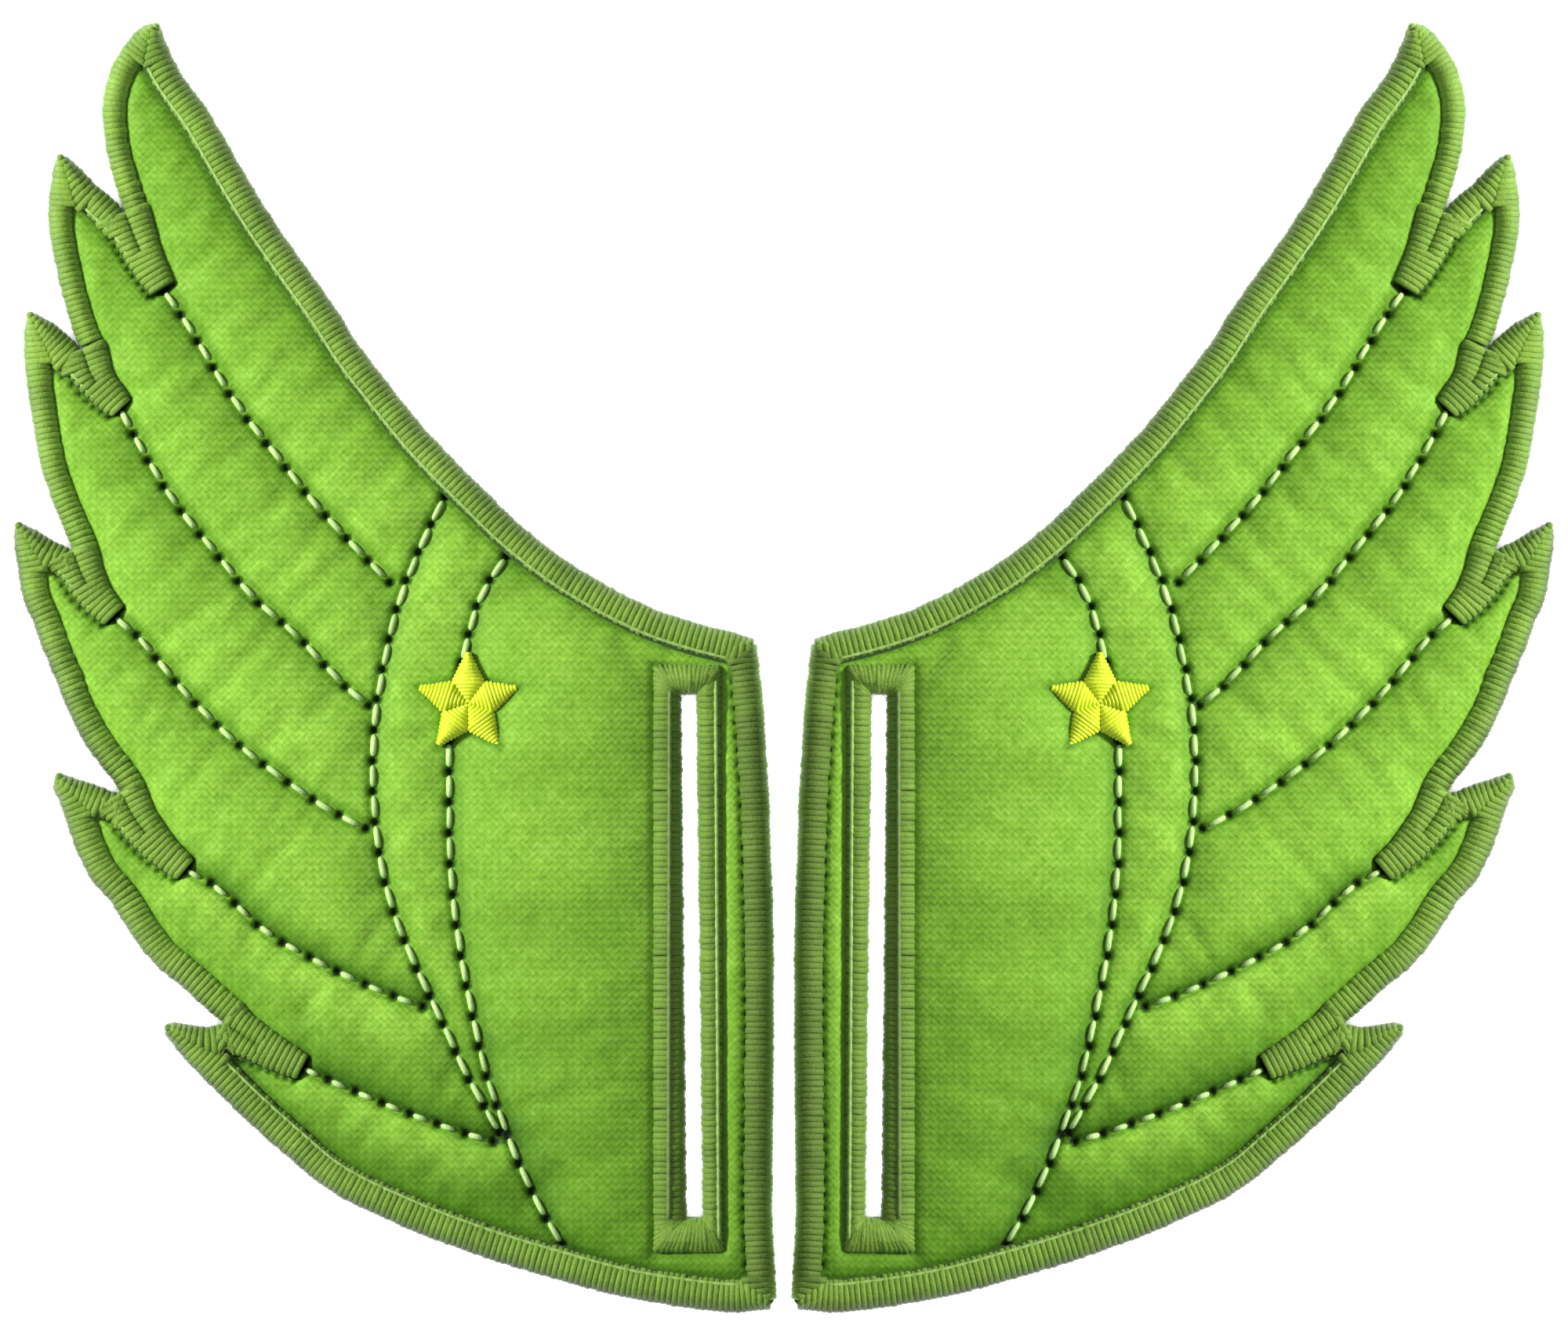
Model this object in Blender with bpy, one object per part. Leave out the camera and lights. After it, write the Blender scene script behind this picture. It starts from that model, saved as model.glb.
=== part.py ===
"""A mirror-image pair of small quilted fabric wings that lace onto a shoe.

Each wing is a flat stack of cloth: backing, stiffener, padding and face cloth, quilted with running stitch into six
feathers and a spine, bound round its outline and round its lace slot with satin stitch, and decorated with a small
embroidered star. The stack is cut in two along the fold between the lacing tab and the feathers.

Metres, +Z up. The pair lies on its back on the ground plane: +X to the right, +Y towards the top feathers' tips, the
origin on the ground under the middle of the pair's box. A wing's pattern is drawn in millimetres in (u, y), u outward
from the middle plane between the wings and y up from the lowest edge.
"""

import math

import bmesh
import bpy
import numpy as np
from mathutils import Vector
from mathutils.geometry import delaunay_2d_cdt

MM = 0.001

# Driving dimensions, in millimetres
# width of the satin stitch along each side of the outline, in the order of OUTLINE: wide on upper and lower edges,
# narrower on the feathers' outer edges and beside the lacing
BORDER_WIDTHS = [2.9, 2.3, 2.8, 2.35, 3.0, 2.4, 2.6, 2.45, 2.6, 2.7, 2.2, 3.1, 2.5, 2.5, 2.5]
BORDER_WRAP = 0.45  # thread outside the cut edge of the cloth
TAIL_START = 2.3  # half width of a border tail at its notch
TAIL_END = 1.35  # half width where it ends on the seam
BACKING = (0.0, 0.40)
STIFFENER = (0.45, 0.80)
PADDING_FLOOR = 0.85
FACE_THICKNESS = 0.40
LAYER_GAP = 0.05
FACE_EDGE = 1.70  # top of the face cloth where the border presses it down
PUFF = 1.60  # how much higher the padding lifts it between seams
SEAM_DEPTH = 0.12  # share of the puff left under a seam
BORDER_TOP = (2.00, 2.25)  # top of the border at its outer and its free edge
THREAD_R = 0.30
STITCH_CLEAR = 0.42  # thread axis above the bottom of its channel
STAR_CENTRE = (30.0, 57.8)
STAR_R = 5.0
STAR_WAIST = 0.50
STAR_FLAT = 5.7  # radius of the flat patch of face cloth under the star
STAR_SEAT = 2.60
STAR_THICKNESS = (0.40, 0.65)
FOLD_U = 18.5  # fold line between tab and feathers
FOLD_CLEAR = 1.80
FOLD_Y = 35.0
FOLD_Z = 1.62
GRID = 0.4  # pitch of the sampling grid for outlines
TOLERANCE = 0.10

# Pattern of the outline, from the tab's top corner along the concave top edge, round each feather, along the bottom
# and up the lacing edge. Each run is one smooth curve, and runs meet in corners.
OUTLINE = [
    [(2.9, 63.8), (4.5, 64.3), (7.7, 65.1), (12.0, 66.5), (16.2, 68.5), (21.1, 71.5), (25.4, 74.9), (28.8, 78.2), (33.7, 83.2), (37.3, 87.6), (40.4, 91.6), (42.9, 95.5), (46.1, 100.0), (49.0, 104.2), (51.8, 108.8), (54.9, 114.1), (57.6, 117.9), (58.8, 120.4), (59.5, 122.4)],
    [(59.5, 122.4), (60.8, 122.2), (62.5, 120.4), (63.8, 118.3), (64.5, 115.9), (64.7, 113.9), (64.4, 110.9), (63.7, 107.9), (62.9, 105.6), (62.5, 104.2)],
    [(62.5, 104.2), (64.2, 105.9), (65.9, 107.4), (67.4, 109.0), (68.9, 110.0)],
    [(68.9, 110.0), (69.3, 108.7), (69.7, 106.5), (69.8, 103.1), (69.4, 100.7), (68.8, 97.9), (68.2, 95.5), (67.3, 92.8), (66.6, 91.2)],
    [(66.6, 91.2), (67.4, 91.9), (68.4, 92.9), (69.6, 93.9), (71.8, 95.0)],
    [(71.8, 95.0), (72.1, 93.4), (72.1, 90.8), (71.8, 87.8), (71.3, 84.4), (70.6, 80.6), (69.7, 77.7), (68.7, 75.3), (67.6, 72.6), (67.5, 72.1)],
    [(67.5, 72.1), (68.4, 72.6), (69.7, 73.2), (70.9, 74.0), (72.9, 75.0)],
    [(72.9, 75.0), (73.1, 73.6), (72.8, 71.2), (72.3, 68.0), (71.3, 65.6), (70.2, 62.6), (69.0, 59.7), (67.8, 56.7), (66.2, 53.8), (64.6, 51.6), (63.6, 50.4), (62.9, 49.1)],
    [(62.9, 49.1), (64.2, 49.4), (65.6, 50.0), (67.4, 50.5), (69.1, 51.1)],
    [(69.1, 51.1), (69.4, 50.1), (68.8, 48.5), (68.1, 46.4), (67.0, 43.5), (65.7, 41.0), (63.8, 38.8), (62.0, 35.9), (59.6, 32.9), (57.5, 31.2), (55.6, 29.5), (53.9, 28.0), (53.0, 27.3)],
    [(53.0, 27.3), (54.9, 26.9), (56.4, 27.1), (58.2, 27.3), (58.8, 27.1)],
    [(58.8, 27.1), (58.8, 26.4), (57.8, 25.2), (56.8, 23.9), (53.8, 20.9), (50.8, 18.0), (47.4, 15.0), (44.1, 12.2), (41.1, 10.4), (38.1, 9.0), (34.4, 7.4), (30.4, 5.9), (26.2, 4.5), (21.4, 3.1), (15.9, 1.6), (10.3, 0.6), (4.5, 0.0), (1.3, 0.3)],
    [(1.3, 0.3), (0.9, 0.4), (0.8, 1.2)],
    [(0.8, 1.2), (1.2, 8.3), (1.2, 15.0), (1.1, 26.9), (1.1, 35.9), (1.3, 41.9), (1.5, 47.9), (1.8, 53.1), (2.1, 57.6), (2.5, 61.3), (2.7, 63.4)],
    [(2.7, 63.4), (2.9, 63.8)],
]

# Border tails: from each notch in to where the running stitch takes over
TAILS = [
    [(62.5, 104.2), (61.8, 102.4), (60.6, 99.7), (59.1, 97.2)],
    [(66.6, 91.2), (65.7, 88.9), (64.5, 87.4), (63.2, 86.0)],
    [(67.5, 72.1), (66.6, 69.9), (65.4, 67.9), (63.8, 66.2)],
    [(62.9, 49.1), (61.6, 46.8), (59.4, 44.1), (57.1, 42.1)],
    [(53.0, 27.3), (50.8, 25.9), (48.4, 24.5), (45.9, 23.2)],
]

# Quilting seams, each from its outer end inwards
SEAMS = {
    "feather_seam_1": [(59.1, 97.2), (57.5, 95.0), (55.9, 92.5), (54.4, 90.0), (51.5, 85.5), (48.1, 81.2), (44.4, 76.6), (40.7, 72.6), (37.4, 69.1)],
    "feather_seam_2": [(63.2, 86.0), (61.1, 82.1), (58.1, 77.2), (54.4, 72.6), (50.6, 68.0), (46.1, 64.1), (42.0, 59.7), (39.4, 57.6)],
    "feather_seam_3": [(63.8, 66.2), (61.4, 64.2), (57.6, 59.6), (53.4, 55.3), (48.8, 51.5), (43.7, 48.0), (39.7, 45.9)],
    "feather_seam_4": [(57.1, 42.1), (53.7, 40.2), (49.4, 36.2), (44.4, 33.3), (38.7, 30.6), (34.0, 28.8)],
    "feather_seam_5": [(45.9, 23.2), (42.1, 21.5), (35.9, 18.9), (29.4, 16.6), (27.3, 16.0)],
    "outer_spine_seam": [(32.2, 77.5), (34.2, 73.4), (36.4, 68.0), (37.8, 62.6), (38.8, 57.0), (39.1, 51.0), (38.7, 45.2), (37.6, 39.6), (35.4, 33.7), (32.8, 28.2), (30.1, 22.4), (27.0, 17.4)],
    "inner_spine_seam_top": [(25.8, 72.6), (28.8, 68.0), (29.7, 65.2), (29.9, 63.8)],
    "inner_spine_seam": [(31.8, 51.8), (31.8, 50.3), (31.8, 44.4), (31.6, 41.3), (30.9, 35.1), (29.7, 28.7), (28.3, 22.6), (27.2, 19.4), (25.1, 13.8), (23.5, 10.5), (21.7, 7.3)],
}

# Lace slot and the free edge of its satin binding, corner by corner, anticlockwise in (u, y)
SLOT = [(7.6, 8.8), (9.4, 8.8), (9.9, 58.8), (8.2, 58.8)]
SLOT_BINDING = [(5.2, 5.6), (12.4, 5.6), (12.4, 61.5), (5.9, 61.0)]

MATERIALS = {
    "face_cloth": ((0.28, 0.56, 0.06), 0.75),
    "padding": ((0.85, 0.86, 0.80), 0.95),
    "stiffener": ((0.88, 0.88, 0.86), 0.85),
    "backing": ((0.20, 0.42, 0.05), 0.90),
    "binding_thread": ((0.15, 0.32, 0.03), 0.60),
    "seam_thread": ((0.42, 0.66, 0.20), 0.60),
    "star_thread": ((0.80, 0.95, 0.01), 0.50),
}


# Plane geometry


def smooth_curve(points, pitch):
    """A centripetal Catmull-Rom curve through the points, sampled about every pitch."""
    p = np.array(points, float)
    p = np.vstack([2 * p[0] - p[1], p, 2 * p[-1] - p[-2]])
    found = []
    for a, b, c, d in zip(p, p[1:], p[2:], p[3:]):
        t = np.cumsum([0] + [math.sqrt(np.linalg.norm(n - m)) for m, n in ((a, b), (b, c), (c, d))])
        count = max(1, round(np.linalg.norm(c - b) / pitch))
        for s in np.linspace(t[1], t[2], count, endpoint=False):
            ab = ((t[1] - s) * a + (s - t[0]) * b) / (t[1] - t[0])
            bc = ((t[2] - s) * b + (s - t[1]) * c) / (t[2] - t[1])
            cd = ((t[3] - s) * c + (s - t[2]) * d) / (t[3] - t[2])
            abc = ((t[2] - s) * ab + (s - t[0]) * bc) / (t[2] - t[0])
            bcd = ((t[3] - s) * bc + (s - t[1]) * cd) / (t[3] - t[1])
            found.append(((t[2] - s) * abc + (s - t[1]) * bcd) / (t[2] - t[1]))
    found.append(p[-2])
    return np.array(found)


def spaced(line, pitch):
    """The line sampled again at an even pitch, ends kept."""
    steps = np.linalg.norm(np.diff(line, axis=0), axis=1)
    along = np.concatenate([[0], np.cumsum(steps)])
    at = np.linspace(0, along[-1], max(2, round(along[-1] / pitch) + 1))
    return np.column_stack([np.interp(at, along, line[:, i]) for i in (0, 1)])


def closed(loop):
    return np.vstack([loop, loop[:1]])


def nearest(points, line):
    """Distance from each point to the line, and how far along it the nearest place is."""
    points = np.atleast_2d(np.asarray(points, float))
    best = np.full(len(points), np.inf)
    where = np.zeros(len(points))
    run = 0.0
    for a, b in zip(line, line[1:]):
        ab = b - a
        size = float(np.hypot(*ab))
        if size < 1e-9:
            continue
        t = np.clip(((points - a) @ ab) / size**2, 0, 1)
        d = np.hypot(*(points - a - t[:, None] * ab).T)
        closer = d < best
        best[closer] = d[closer]
        where[closer] = run + t[closer] * size
        run += size
    return best, where


def inside(points, loop):
    points = np.atleast_2d(np.asarray(points, float))
    x, y = points.T
    found = np.zeros(len(points), bool)
    for (ax, ay), (bx, by) in zip(loop, np.roll(loop, -1, axis=0)):
        crosses = (ay > y) != (by > y)
        with np.errstate(divide="ignore", invalid="ignore"):
            found ^= crosses & (x < (bx - ax) * (y - ay) / (by - ay) + ax)
    return found


OUTER = np.vstack([smooth_curve(run, 1.0)[:-1] for run in OUTLINE])
OUTER_LINE = np.vstack([OUTER, OUTER[:1]])
SIDES = [smooth_curve(run, 1.0) for run in OUTLINE]
TAIL_LINES = [smooth_curve(tail, 1.0) for tail in TAILS]
SEAM_CURVES = {name: smooth_curve(points, 0.25) for name, points in SEAMS.items()}


def depth(points):
    """How far each point lies inside the outline, negative outside it."""
    d = nearest(points, OUTER_LINE)[0]
    return np.where(inside(points, OUTER), d, -d)


def beyond(points, corners):
    """How far each point lies outside a convex outline given anticlockwise, negative inside it."""
    points = np.atleast_2d(np.asarray(points, float))
    sides = []
    for a, b in zip(corners, corners[1:] + corners[:1]):
        way = np.subtract(b, a) / math.dist(a, b)
        sides.append((points - a) @ np.array([way[1], -way[0]]))
    return np.max(sides, axis=0)


def widened(corners, by):
    """The convex outline moved outwards all round."""
    found = []
    for before, at, after in zip(corners[-1:] + corners[:-1], corners, corners[1:] + corners[:1]):
        a = np.subtract(at, before) / math.dist(at, before)
        b = np.subtract(after, at) / math.dist(after, at)
        normal_a, normal_b = np.array([a[1], -a[0]]), np.array([b[1], -b[0]])
        found.append(np.linalg.solve(np.array([normal_a, normal_b]), [by + normal_a @ at, by + normal_b @ at]))
    return np.array(found)


def within_border(points):
    """How far each point lies inside the inner edge of the border, negative under it."""
    inner = np.min([nearest(points, side)[0] - width for side, width in zip(SIDES, BORDER_WIDTHS)], axis=0)
    return np.minimum(inner, depth(points))


def free_cloth(points):
    """How far each point lies into the cloth that shows between the bindings, negative under a binding."""
    points = np.atleast_2d(np.asarray(points, float))
    open_by = within_border(points)
    for line in TAIL_LINES:
        way = line[-1] - line[-2]
        way /= np.hypot(*way)
        longer = np.vstack([line, line[-1] + 4 * way])
        d, along = nearest(points, longer)
        length = np.linalg.norm(np.diff(line, axis=0), axis=1).sum()
        half = TAIL_START + (TAIL_END - TAIL_START) * np.clip(along / length, 0, 1)
        open_by = np.minimum(open_by, np.maximum(d - half, (points - line[-1]) @ way))
    return np.minimum(open_by, beyond(points, SLOT_BINDING))


def stitched(curve):
    """The stretch of a seam that shows between the bindings and clear of the star, sampled for its thread."""
    shows = (free_cloth(curve) > 0.35) & (np.hypot(*(curve - STAR_CENTRE).T) > STAR_FLAT + 0.1)
    return spaced(curve[shows], 4.6)


SEAM_LINES = {name: stitched(curve) for name, curve in SEAM_CURVES.items()}


def face_height(points):
    """Top of the face cloth: pressed down under the bindings, puffed between them, pulled in along each seam."""
    points = np.atleast_2d(np.asarray(points, float))
    free = np.clip(free_cloth(points), 0, None)
    seam = np.min([nearest(points, line)[0] for line in SEAM_LINES.values()], axis=0)
    pull = SEAM_DEPTH + (1 - SEAM_DEPTH) * (1 - np.exp(-seam / 1.5))
    height = FACE_EDGE + PUFF * (1 - np.exp(-free / 1.6)) * pull
    patch = np.hypot(*(points - STAR_CENTRE).T) / STAR_FLAT
    mix = np.clip((patch - 1.02) / 0.35, 0, 1)
    return STAR_SEAT + (height - STAR_SEAT) * mix


def contours(field):
    """The closed lines where a field over the plane crosses zero, positive side on the left."""
    us = np.arange(-3, 77, GRID)
    ys = np.arange(-3, 126, GRID)
    uu, yy = np.meshgrid(us, ys, indexing="ij")
    nodes = np.column_stack([uu.ravel(), yy.ravel()])
    value = field(nodes)
    value[value == 0] = 1e-9
    rows = len(ys)
    i, j = np.meshgrid(np.arange(len(us) - 1), np.arange(rows - 1), indexing="ij")
    base = (i * rows + j).ravel()
    low = np.column_stack([base, base + rows, base + rows + 1])
    high = np.column_stack([base, base + rows + 1, base + 1])
    triangles = np.vstack([low, high])
    sign = value[triangles] > 0
    triangles = triangles[sign.any(axis=1) & ~sign.all(axis=1)]
    after, place = {}, {}
    for corners in triangles.tolist():
        leaving = entering = None
        for a, b in zip(corners, corners[1:] + corners[:1]):
            if (value[a] > 0) == (value[b] > 0):
                continue
            key = (min(a, b), max(a, b))
            share = value[a] / (value[a] - value[b])
            place[key] = nodes[a] + share * (nodes[b] - nodes[a])
            if value[a] > 0:
                leaving = key
            else:
                entering = key
        after[leaving] = entering
    loops = []
    while after:
        key = first = next(iter(after))
        loop = []
        while True:
            loop.append(place[key])
            key = after.pop(key)
            if key == first:
                break
        if len(loop) > 12:
            loops.append(thinned(np.array(loop)))
    return loops


def thinned(loop):
    """The loop with every point dropped that lies within the tolerance of the line between those kept."""
    far = int(np.argmax(np.hypot(*(loop - loop[0]).T)))
    kept = {0, far}
    spans = [(0, far), (far, len(loop))]
    ring = np.vstack([loop, loop[:1]])
    while spans:
        a, b = spans.pop()
        if b - a < 2:
            continue
        d = nearest(ring[a + 1 : b], ring[[a, b]])[0]
        worst = int(np.argmax(d))
        if d[worst] > TOLERANCE:
            middle = a + 1 + worst
            kept.add(middle)
            spans += [(a, middle), (middle, b)]
    return loop[sorted(kept)]


# Solids


class Solid:
    """Points in millimetres and faces, built from level rings, the surfaces between them and the walls that join them."""

    def __init__(self):
        self.points = []
        self.faces = []

    def ring(self, loop, height):
        z = height(loop) if callable(height) else np.full(len(loop), height)
        start = len(self.points)
        self.points += [(*p, float(h)) for p, h in zip(loop.tolist(), z)]
        return list(range(start, start + len(loop)))

    def wall(self, low, high):
        for a, b in zip(range(len(low)), [*range(1, len(low)), 0]):
            self.faces.append((low[a], low[b], high[b], high[a]))

    def surface(self, rings, height, lines=(), up=True):
        """Fills the region between rings, holes included, through the extra lines and points given."""
        flat, index, edges = [], [], []
        for ring in rings:
            start = len(flat)
            flat += [self.points[i][:2] for i in ring]
            index += ring
            edges += [(start + k, start + (k + 1) % len(ring)) for k in range(len(ring))]
        for line in lines:
            start = len(flat)
            flat += [tuple(p) for p in np.atleast_2d(line).tolist()]
            z = height(np.atleast_2d(line))
            new = len(self.points)
            self.points += [(*p, float(h)) for p, h in zip(np.atleast_2d(line).tolist(), z)]
            index += range(new, new + len(z))
            edges += [(start + k, start + k + 1) for k in range(len(z) - 1)]
        made, _, triangles, origin, _, _ = delaunay_2d_cdt([Vector(p) for p in flat], edges, [], 0, 1e-5)
        middle = np.array([np.mean([made[i] for i in t], axis=0) for t in triangles])
        keep = np.zeros(len(triangles), bool)
        for ring in rings:
            keep ^= inside(middle, np.array([self.points[i][:2] for i in ring]))
        for triangle, wanted in zip(triangles, keep):
            if wanted:
                t = tuple(index[origin[i][0]] for i in triangle)
                self.faces.append(t if up else t[::-1])


def slab(loops, low, high, lines=(), low_lines=()):
    """A sheet between two heights over one region. Hole loops run the other way, so their walls face the hole."""
    solid = Solid()
    bottom = [solid.ring(loop, low) for loop in loops]
    top = [solid.ring(loop, high) for loop in loops]
    for a, b in zip(bottom, top):
        solid.wall(a, b)
    solid.surface(top, high, lines)
    solid.surface(bottom, low, low_lines, up=False)
    return solid


def binding(wrapped, groove, free, wrapped_top, free_top):
    """A border with an L section: a flap over the cloth from its free edge out, and a wall down past the cut edge."""
    under = FACE_EDGE + LAYER_GAP
    solid = Solid()
    base = solid.ring(wrapped, 0.0)
    brow = solid.ring(wrapped, wrapped_top)
    groove_low = solid.ring(groove, 0.0)
    groove_high = solid.ring(groove, under)
    free_low = solid.ring(free, under)
    free_high = solid.ring(free, free_top)
    solid.wall(base, brow)
    solid.wall(groove_low[::-1], groove_high[::-1])
    solid.wall(free_low[::-1], free_high[::-1])
    solid.surface([brow, free_high], None)
    solid.surface([base, groove_low], None, up=False)
    solid.surface([groove_high, free_low], None, up=False)
    return solid


def thread(line, height, radius=THREAD_R, sides=5):
    """A closed tube along the line, resting in its channel."""
    solid = Solid()
    z = height(line) + STITCH_CLEAR
    rings = []
    for k, p in enumerate(line):
        way = line[min(k + 1, len(line) - 1)] - line[max(k - 1, 0)]
        way /= np.hypot(*way)
        across = np.array([way[1], -way[0]])
        ring = []
        for s in range(sides):
            angle = 2 * math.pi * s / sides + math.pi / 2
            ring.append(len(solid.points))
            solid.points.append((*(p + across * radius * math.cos(angle)), float(z[k] + radius * math.sin(angle))))
        rings.append(ring)
    for a, b in zip(rings, rings[1:]):
        for s in range(sides):
            solid.faces.append((a[s], b[s], b[(s + 1) % sides], a[(s + 1) % sides]))
    solid.faces += [tuple(rings[0]), tuple(rings[-1][::-1])]
    return solid


def star():
    """A five-pointed star, domed along its middle."""
    angles = [math.pi / 2 + math.pi * k / 5 for k in range(10)]
    radii = [STAR_R, STAR_R * STAR_WAIST] * 5
    loop = np.array([(STAR_CENTRE[0] + r * math.cos(a), STAR_CENTRE[1] + r * math.sin(a)) for r, a in zip(radii, angles)])
    low = STAR_SEAT + LAYER_GAP

    def top(points):
        near = np.hypot(*(np.atleast_2d(points) - STAR_CENTRE).T) < 0.5
        return low + np.where(near, STAR_THICKNESS[1], STAR_THICKNESS[0])

    return slab([loop], low, top, lines=[np.array([STAR_CENTRE])])


# Objects

bpy.context.scene.unit_settings.system = "METRIC"
bpy.context.scene.unit_settings.scale_length = 1.0
for old in list(bpy.data.objects):
    bpy.data.objects.remove(old, do_unlink=True)


def material(name):
    made = bpy.data.materials.get(name)
    if made is None:
        colour, roughness = MATERIALS[name]
        made = bpy.data.materials.new(name)
        made.use_nodes = True
        shader = made.node_tree.nodes["Principled BSDF"]
        shader.inputs["Base Color"].default_value = (*colour, 1)
        shader.inputs["Roughness"].default_value = roughness
        shader.inputs["Metallic"].default_value = 0
        made.diffuse_color = (*colour, 1)
    return made


def place(solid, name, slot, side, parent, cutter=None, smooth=False):
    """One named object, on the left where side is -1 and mirrored to the right where it is 1."""
    centre = np.array(parent.location)
    points = (np.array(solid.points) - (0, MIDDLE_Y, 0)) * MM * (side, 1, 1) - centre
    mesh = bpy.data.meshes.new(name)
    mesh.from_pydata(points.tolist(), [], [f if side > 0 else f[::-1] for f in solid.faces])
    mesh.validate()
    work = bmesh.new()
    work.from_mesh(mesh)
    bmesh.ops.delete(work, geom=[v for v in work.verts if not v.link_faces], context="VERTS")
    bmesh.ops.recalc_face_normals(work, faces=work.faces)
    if work.calc_volume(signed=True) < 0:
        bmesh.ops.reverse_faces(work, faces=work.faces)
    work.to_mesh(mesh)
    work.free()
    mesh.materials.append(material(slot))
    obj = bpy.data.objects.new(name, mesh)
    bpy.context.scene.collection.objects.link(obj)
    obj.parent = parent
    if smooth:
        mesh.shade_smooth()
        mesh.set_sharp_from_angle(angle=math.radians(50))
    if cutter:
        cut = obj.modifiers.new("half", "BOOLEAN")
        cut.operation = "INTERSECT"
        cut.solver = "EXACT"
        cut.object = cutter
    return obj


def empty(name, location):
    obj = bpy.data.objects.new(name, None)
    obj.empty_display_size = 0.01
    obj.location = location
    bpy.context.scene.collection.objects.link(obj)
    return obj


def box_cutter(name, low, high):
    mesh = bpy.data.meshes.new(name)
    work = bmesh.new()
    bmesh.ops.create_cube(work, size=1)
    for v in work.verts:
        v.co = Vector([(low[i] if v.co[i] < 0 else high[i]) * MM for i in range(3)])
    bmesh.ops.recalc_face_normals(work, faces=work.faces)
    work.to_mesh(mesh)
    work.free()
    obj = bpy.data.objects.new(name, mesh)
    obj.hide_render = True
    obj.display_type = "WIRE"
    bpy.context.scene.collection.objects.link(obj)
    return obj


# Outlines shared by the pieces

outline = contours(depth)[0]
MIDDLE_Y = float(outline[:, 1].min() + outline[:, 1].max()) / 2
slot_cut = widened(SLOT, BORDER_WRAP)[::-1]
cut_cloth = [contours(lambda p: depth(p) - BORDER_WRAP)[0], slot_cut]
groove = contours(lambda p: depth(p) - (BORDER_WRAP - 2.5 * TOLERANCE))[0]
shown = contours(free_cloth)
shown.sort(key=lambda loop: float(np.ptp(loop[:, 1]) * np.ptp(loop[:, 0])), reverse=True)
border_free = shown[0]
slot_free = np.array(SLOT_BINDING, float)
slot_groove = widened(SLOT, BORDER_WRAP - LAYER_GAP)
slot_edge = np.array(SLOT, float)

# Points that carry the quilted surface: the seams, a grid between them, and a ring round the star
angles = np.linspace(0, 2 * math.pi, 16, endpoint=False)
star_ring = np.column_stack([STAR_CENTRE[0] + STAR_FLAT * np.cos(angles), STAR_CENTRE[1] + STAR_FLAT * np.sin(angles)])
rows = []
for row, y in enumerate(np.arange(2, 122, 3.3)):
    rows += [(u, y) for u in np.arange(2 + 1.9 * (row % 2), 74, 3.8)]
grid = np.array(rows)
seam_gap = np.min([nearest(grid, line)[0] for line in SEAM_LINES.values()], axis=0)
star_gap = np.hypot(*(grid - STAR_CENTRE).T) - STAR_FLAT
grid = grid[(free_cloth(grid) > 1.1) & (seam_gap > 1.5) & (star_gap > 0.8)]
panel = (grid[:, 0] < 29) & (grid[:, 1] < 66)
grid = grid[~panel | (np.arange(len(grid)) % 2 == 0)]
quilt = [*SEAM_LINES.values(), star_ring, closed(slot_free), closed(border_free)]
quilt += [point[None] for point in grid]


def face_bottom(points):
    return face_height(points) - FACE_THICKNESS


def padding_top(points):
    return face_bottom(points) - LAYER_GAP


LAYERS = {
    "backing": slab(cut_cloth, *BACKING),
    "stiffener": slab(cut_cloth, *STIFFENER),
    "padding": slab(cut_cloth, PADDING_FLOOR, padding_top, quilt),
    "face_cloth": slab(cut_cloth, face_bottom, face_height, quilt, quilt),
}
EDGE_BINDING = binding(outline, groove, border_free, BORDER_TOP[0], BORDER_TOP[1])
SLOT_TRIM = binding(slot_edge, slot_groove, slot_free, BORDER_TOP[0], BORDER_TOP[1])

web_loop = contours(lambda p: np.minimum(depth(p) - 0.1, FOLD_CLEAR - 0.08 - np.abs(p[:, 0] - FOLD_U)))[0]
middle_line = np.array([(FOLD_U, y) for y in np.arange(8, 66, 6.0)])


def web_top(points):
    return np.where(free_cloth(points) > 0, face_height(points), BORDER_TOP[1] - 0.05)


FOLD_WEB = slab([web_loop], 0.02, web_top, lines=[middle_line])

for side, hand in ((-1, "left"), (1, "right")):
    tab = empty(f"{hand}_tab_frame", (0, 0, 0))
    fold = empty(f"{hand}_fold_axis", (side * FOLD_U * MM, (FOLD_Y - MIDDLE_Y) * MM, FOLD_Z * MM))
    ends = sorted((side * -5, side * (FOLD_U - FOLD_CLEAR)))
    tab_half = box_cutter(f"{hand}_tab_half", (ends[0], -70, -5), (ends[1], 70, 10))
    ends = sorted((side * (FOLD_U + FOLD_CLEAR), side * 80))
    feather_half = box_cutter(f"{hand}_feather_half", (ends[0], -70, -5), (ends[1], 70, 10))
    for layer, solid in LAYERS.items():
        place(solid, f"{hand}_tab_{layer}", layer, side, tab, tab_half)
        place(solid, f"{hand}_feather_{layer}", layer, side, fold, feather_half)
    place(EDGE_BINDING, f"{hand}_tab_edge_binding", "binding_thread", side, tab, tab_half)
    place(EDGE_BINDING, f"{hand}_feather_edge_binding", "binding_thread", side, fold, feather_half)
    place(SLOT_TRIM, f"{hand}_slot_binding", "binding_thread", side, tab)
    place(FOLD_WEB, f"{hand}_fold_web", "face_cloth", side, tab)
    place(star(), f"{hand}_star_emblem", "star_thread", side, fold)
    for name, line in SEAM_LINES.items():
        place(thread(line, face_height), f"{hand}_{name}", "seam_thread", side, fold, smooth=True)
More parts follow.
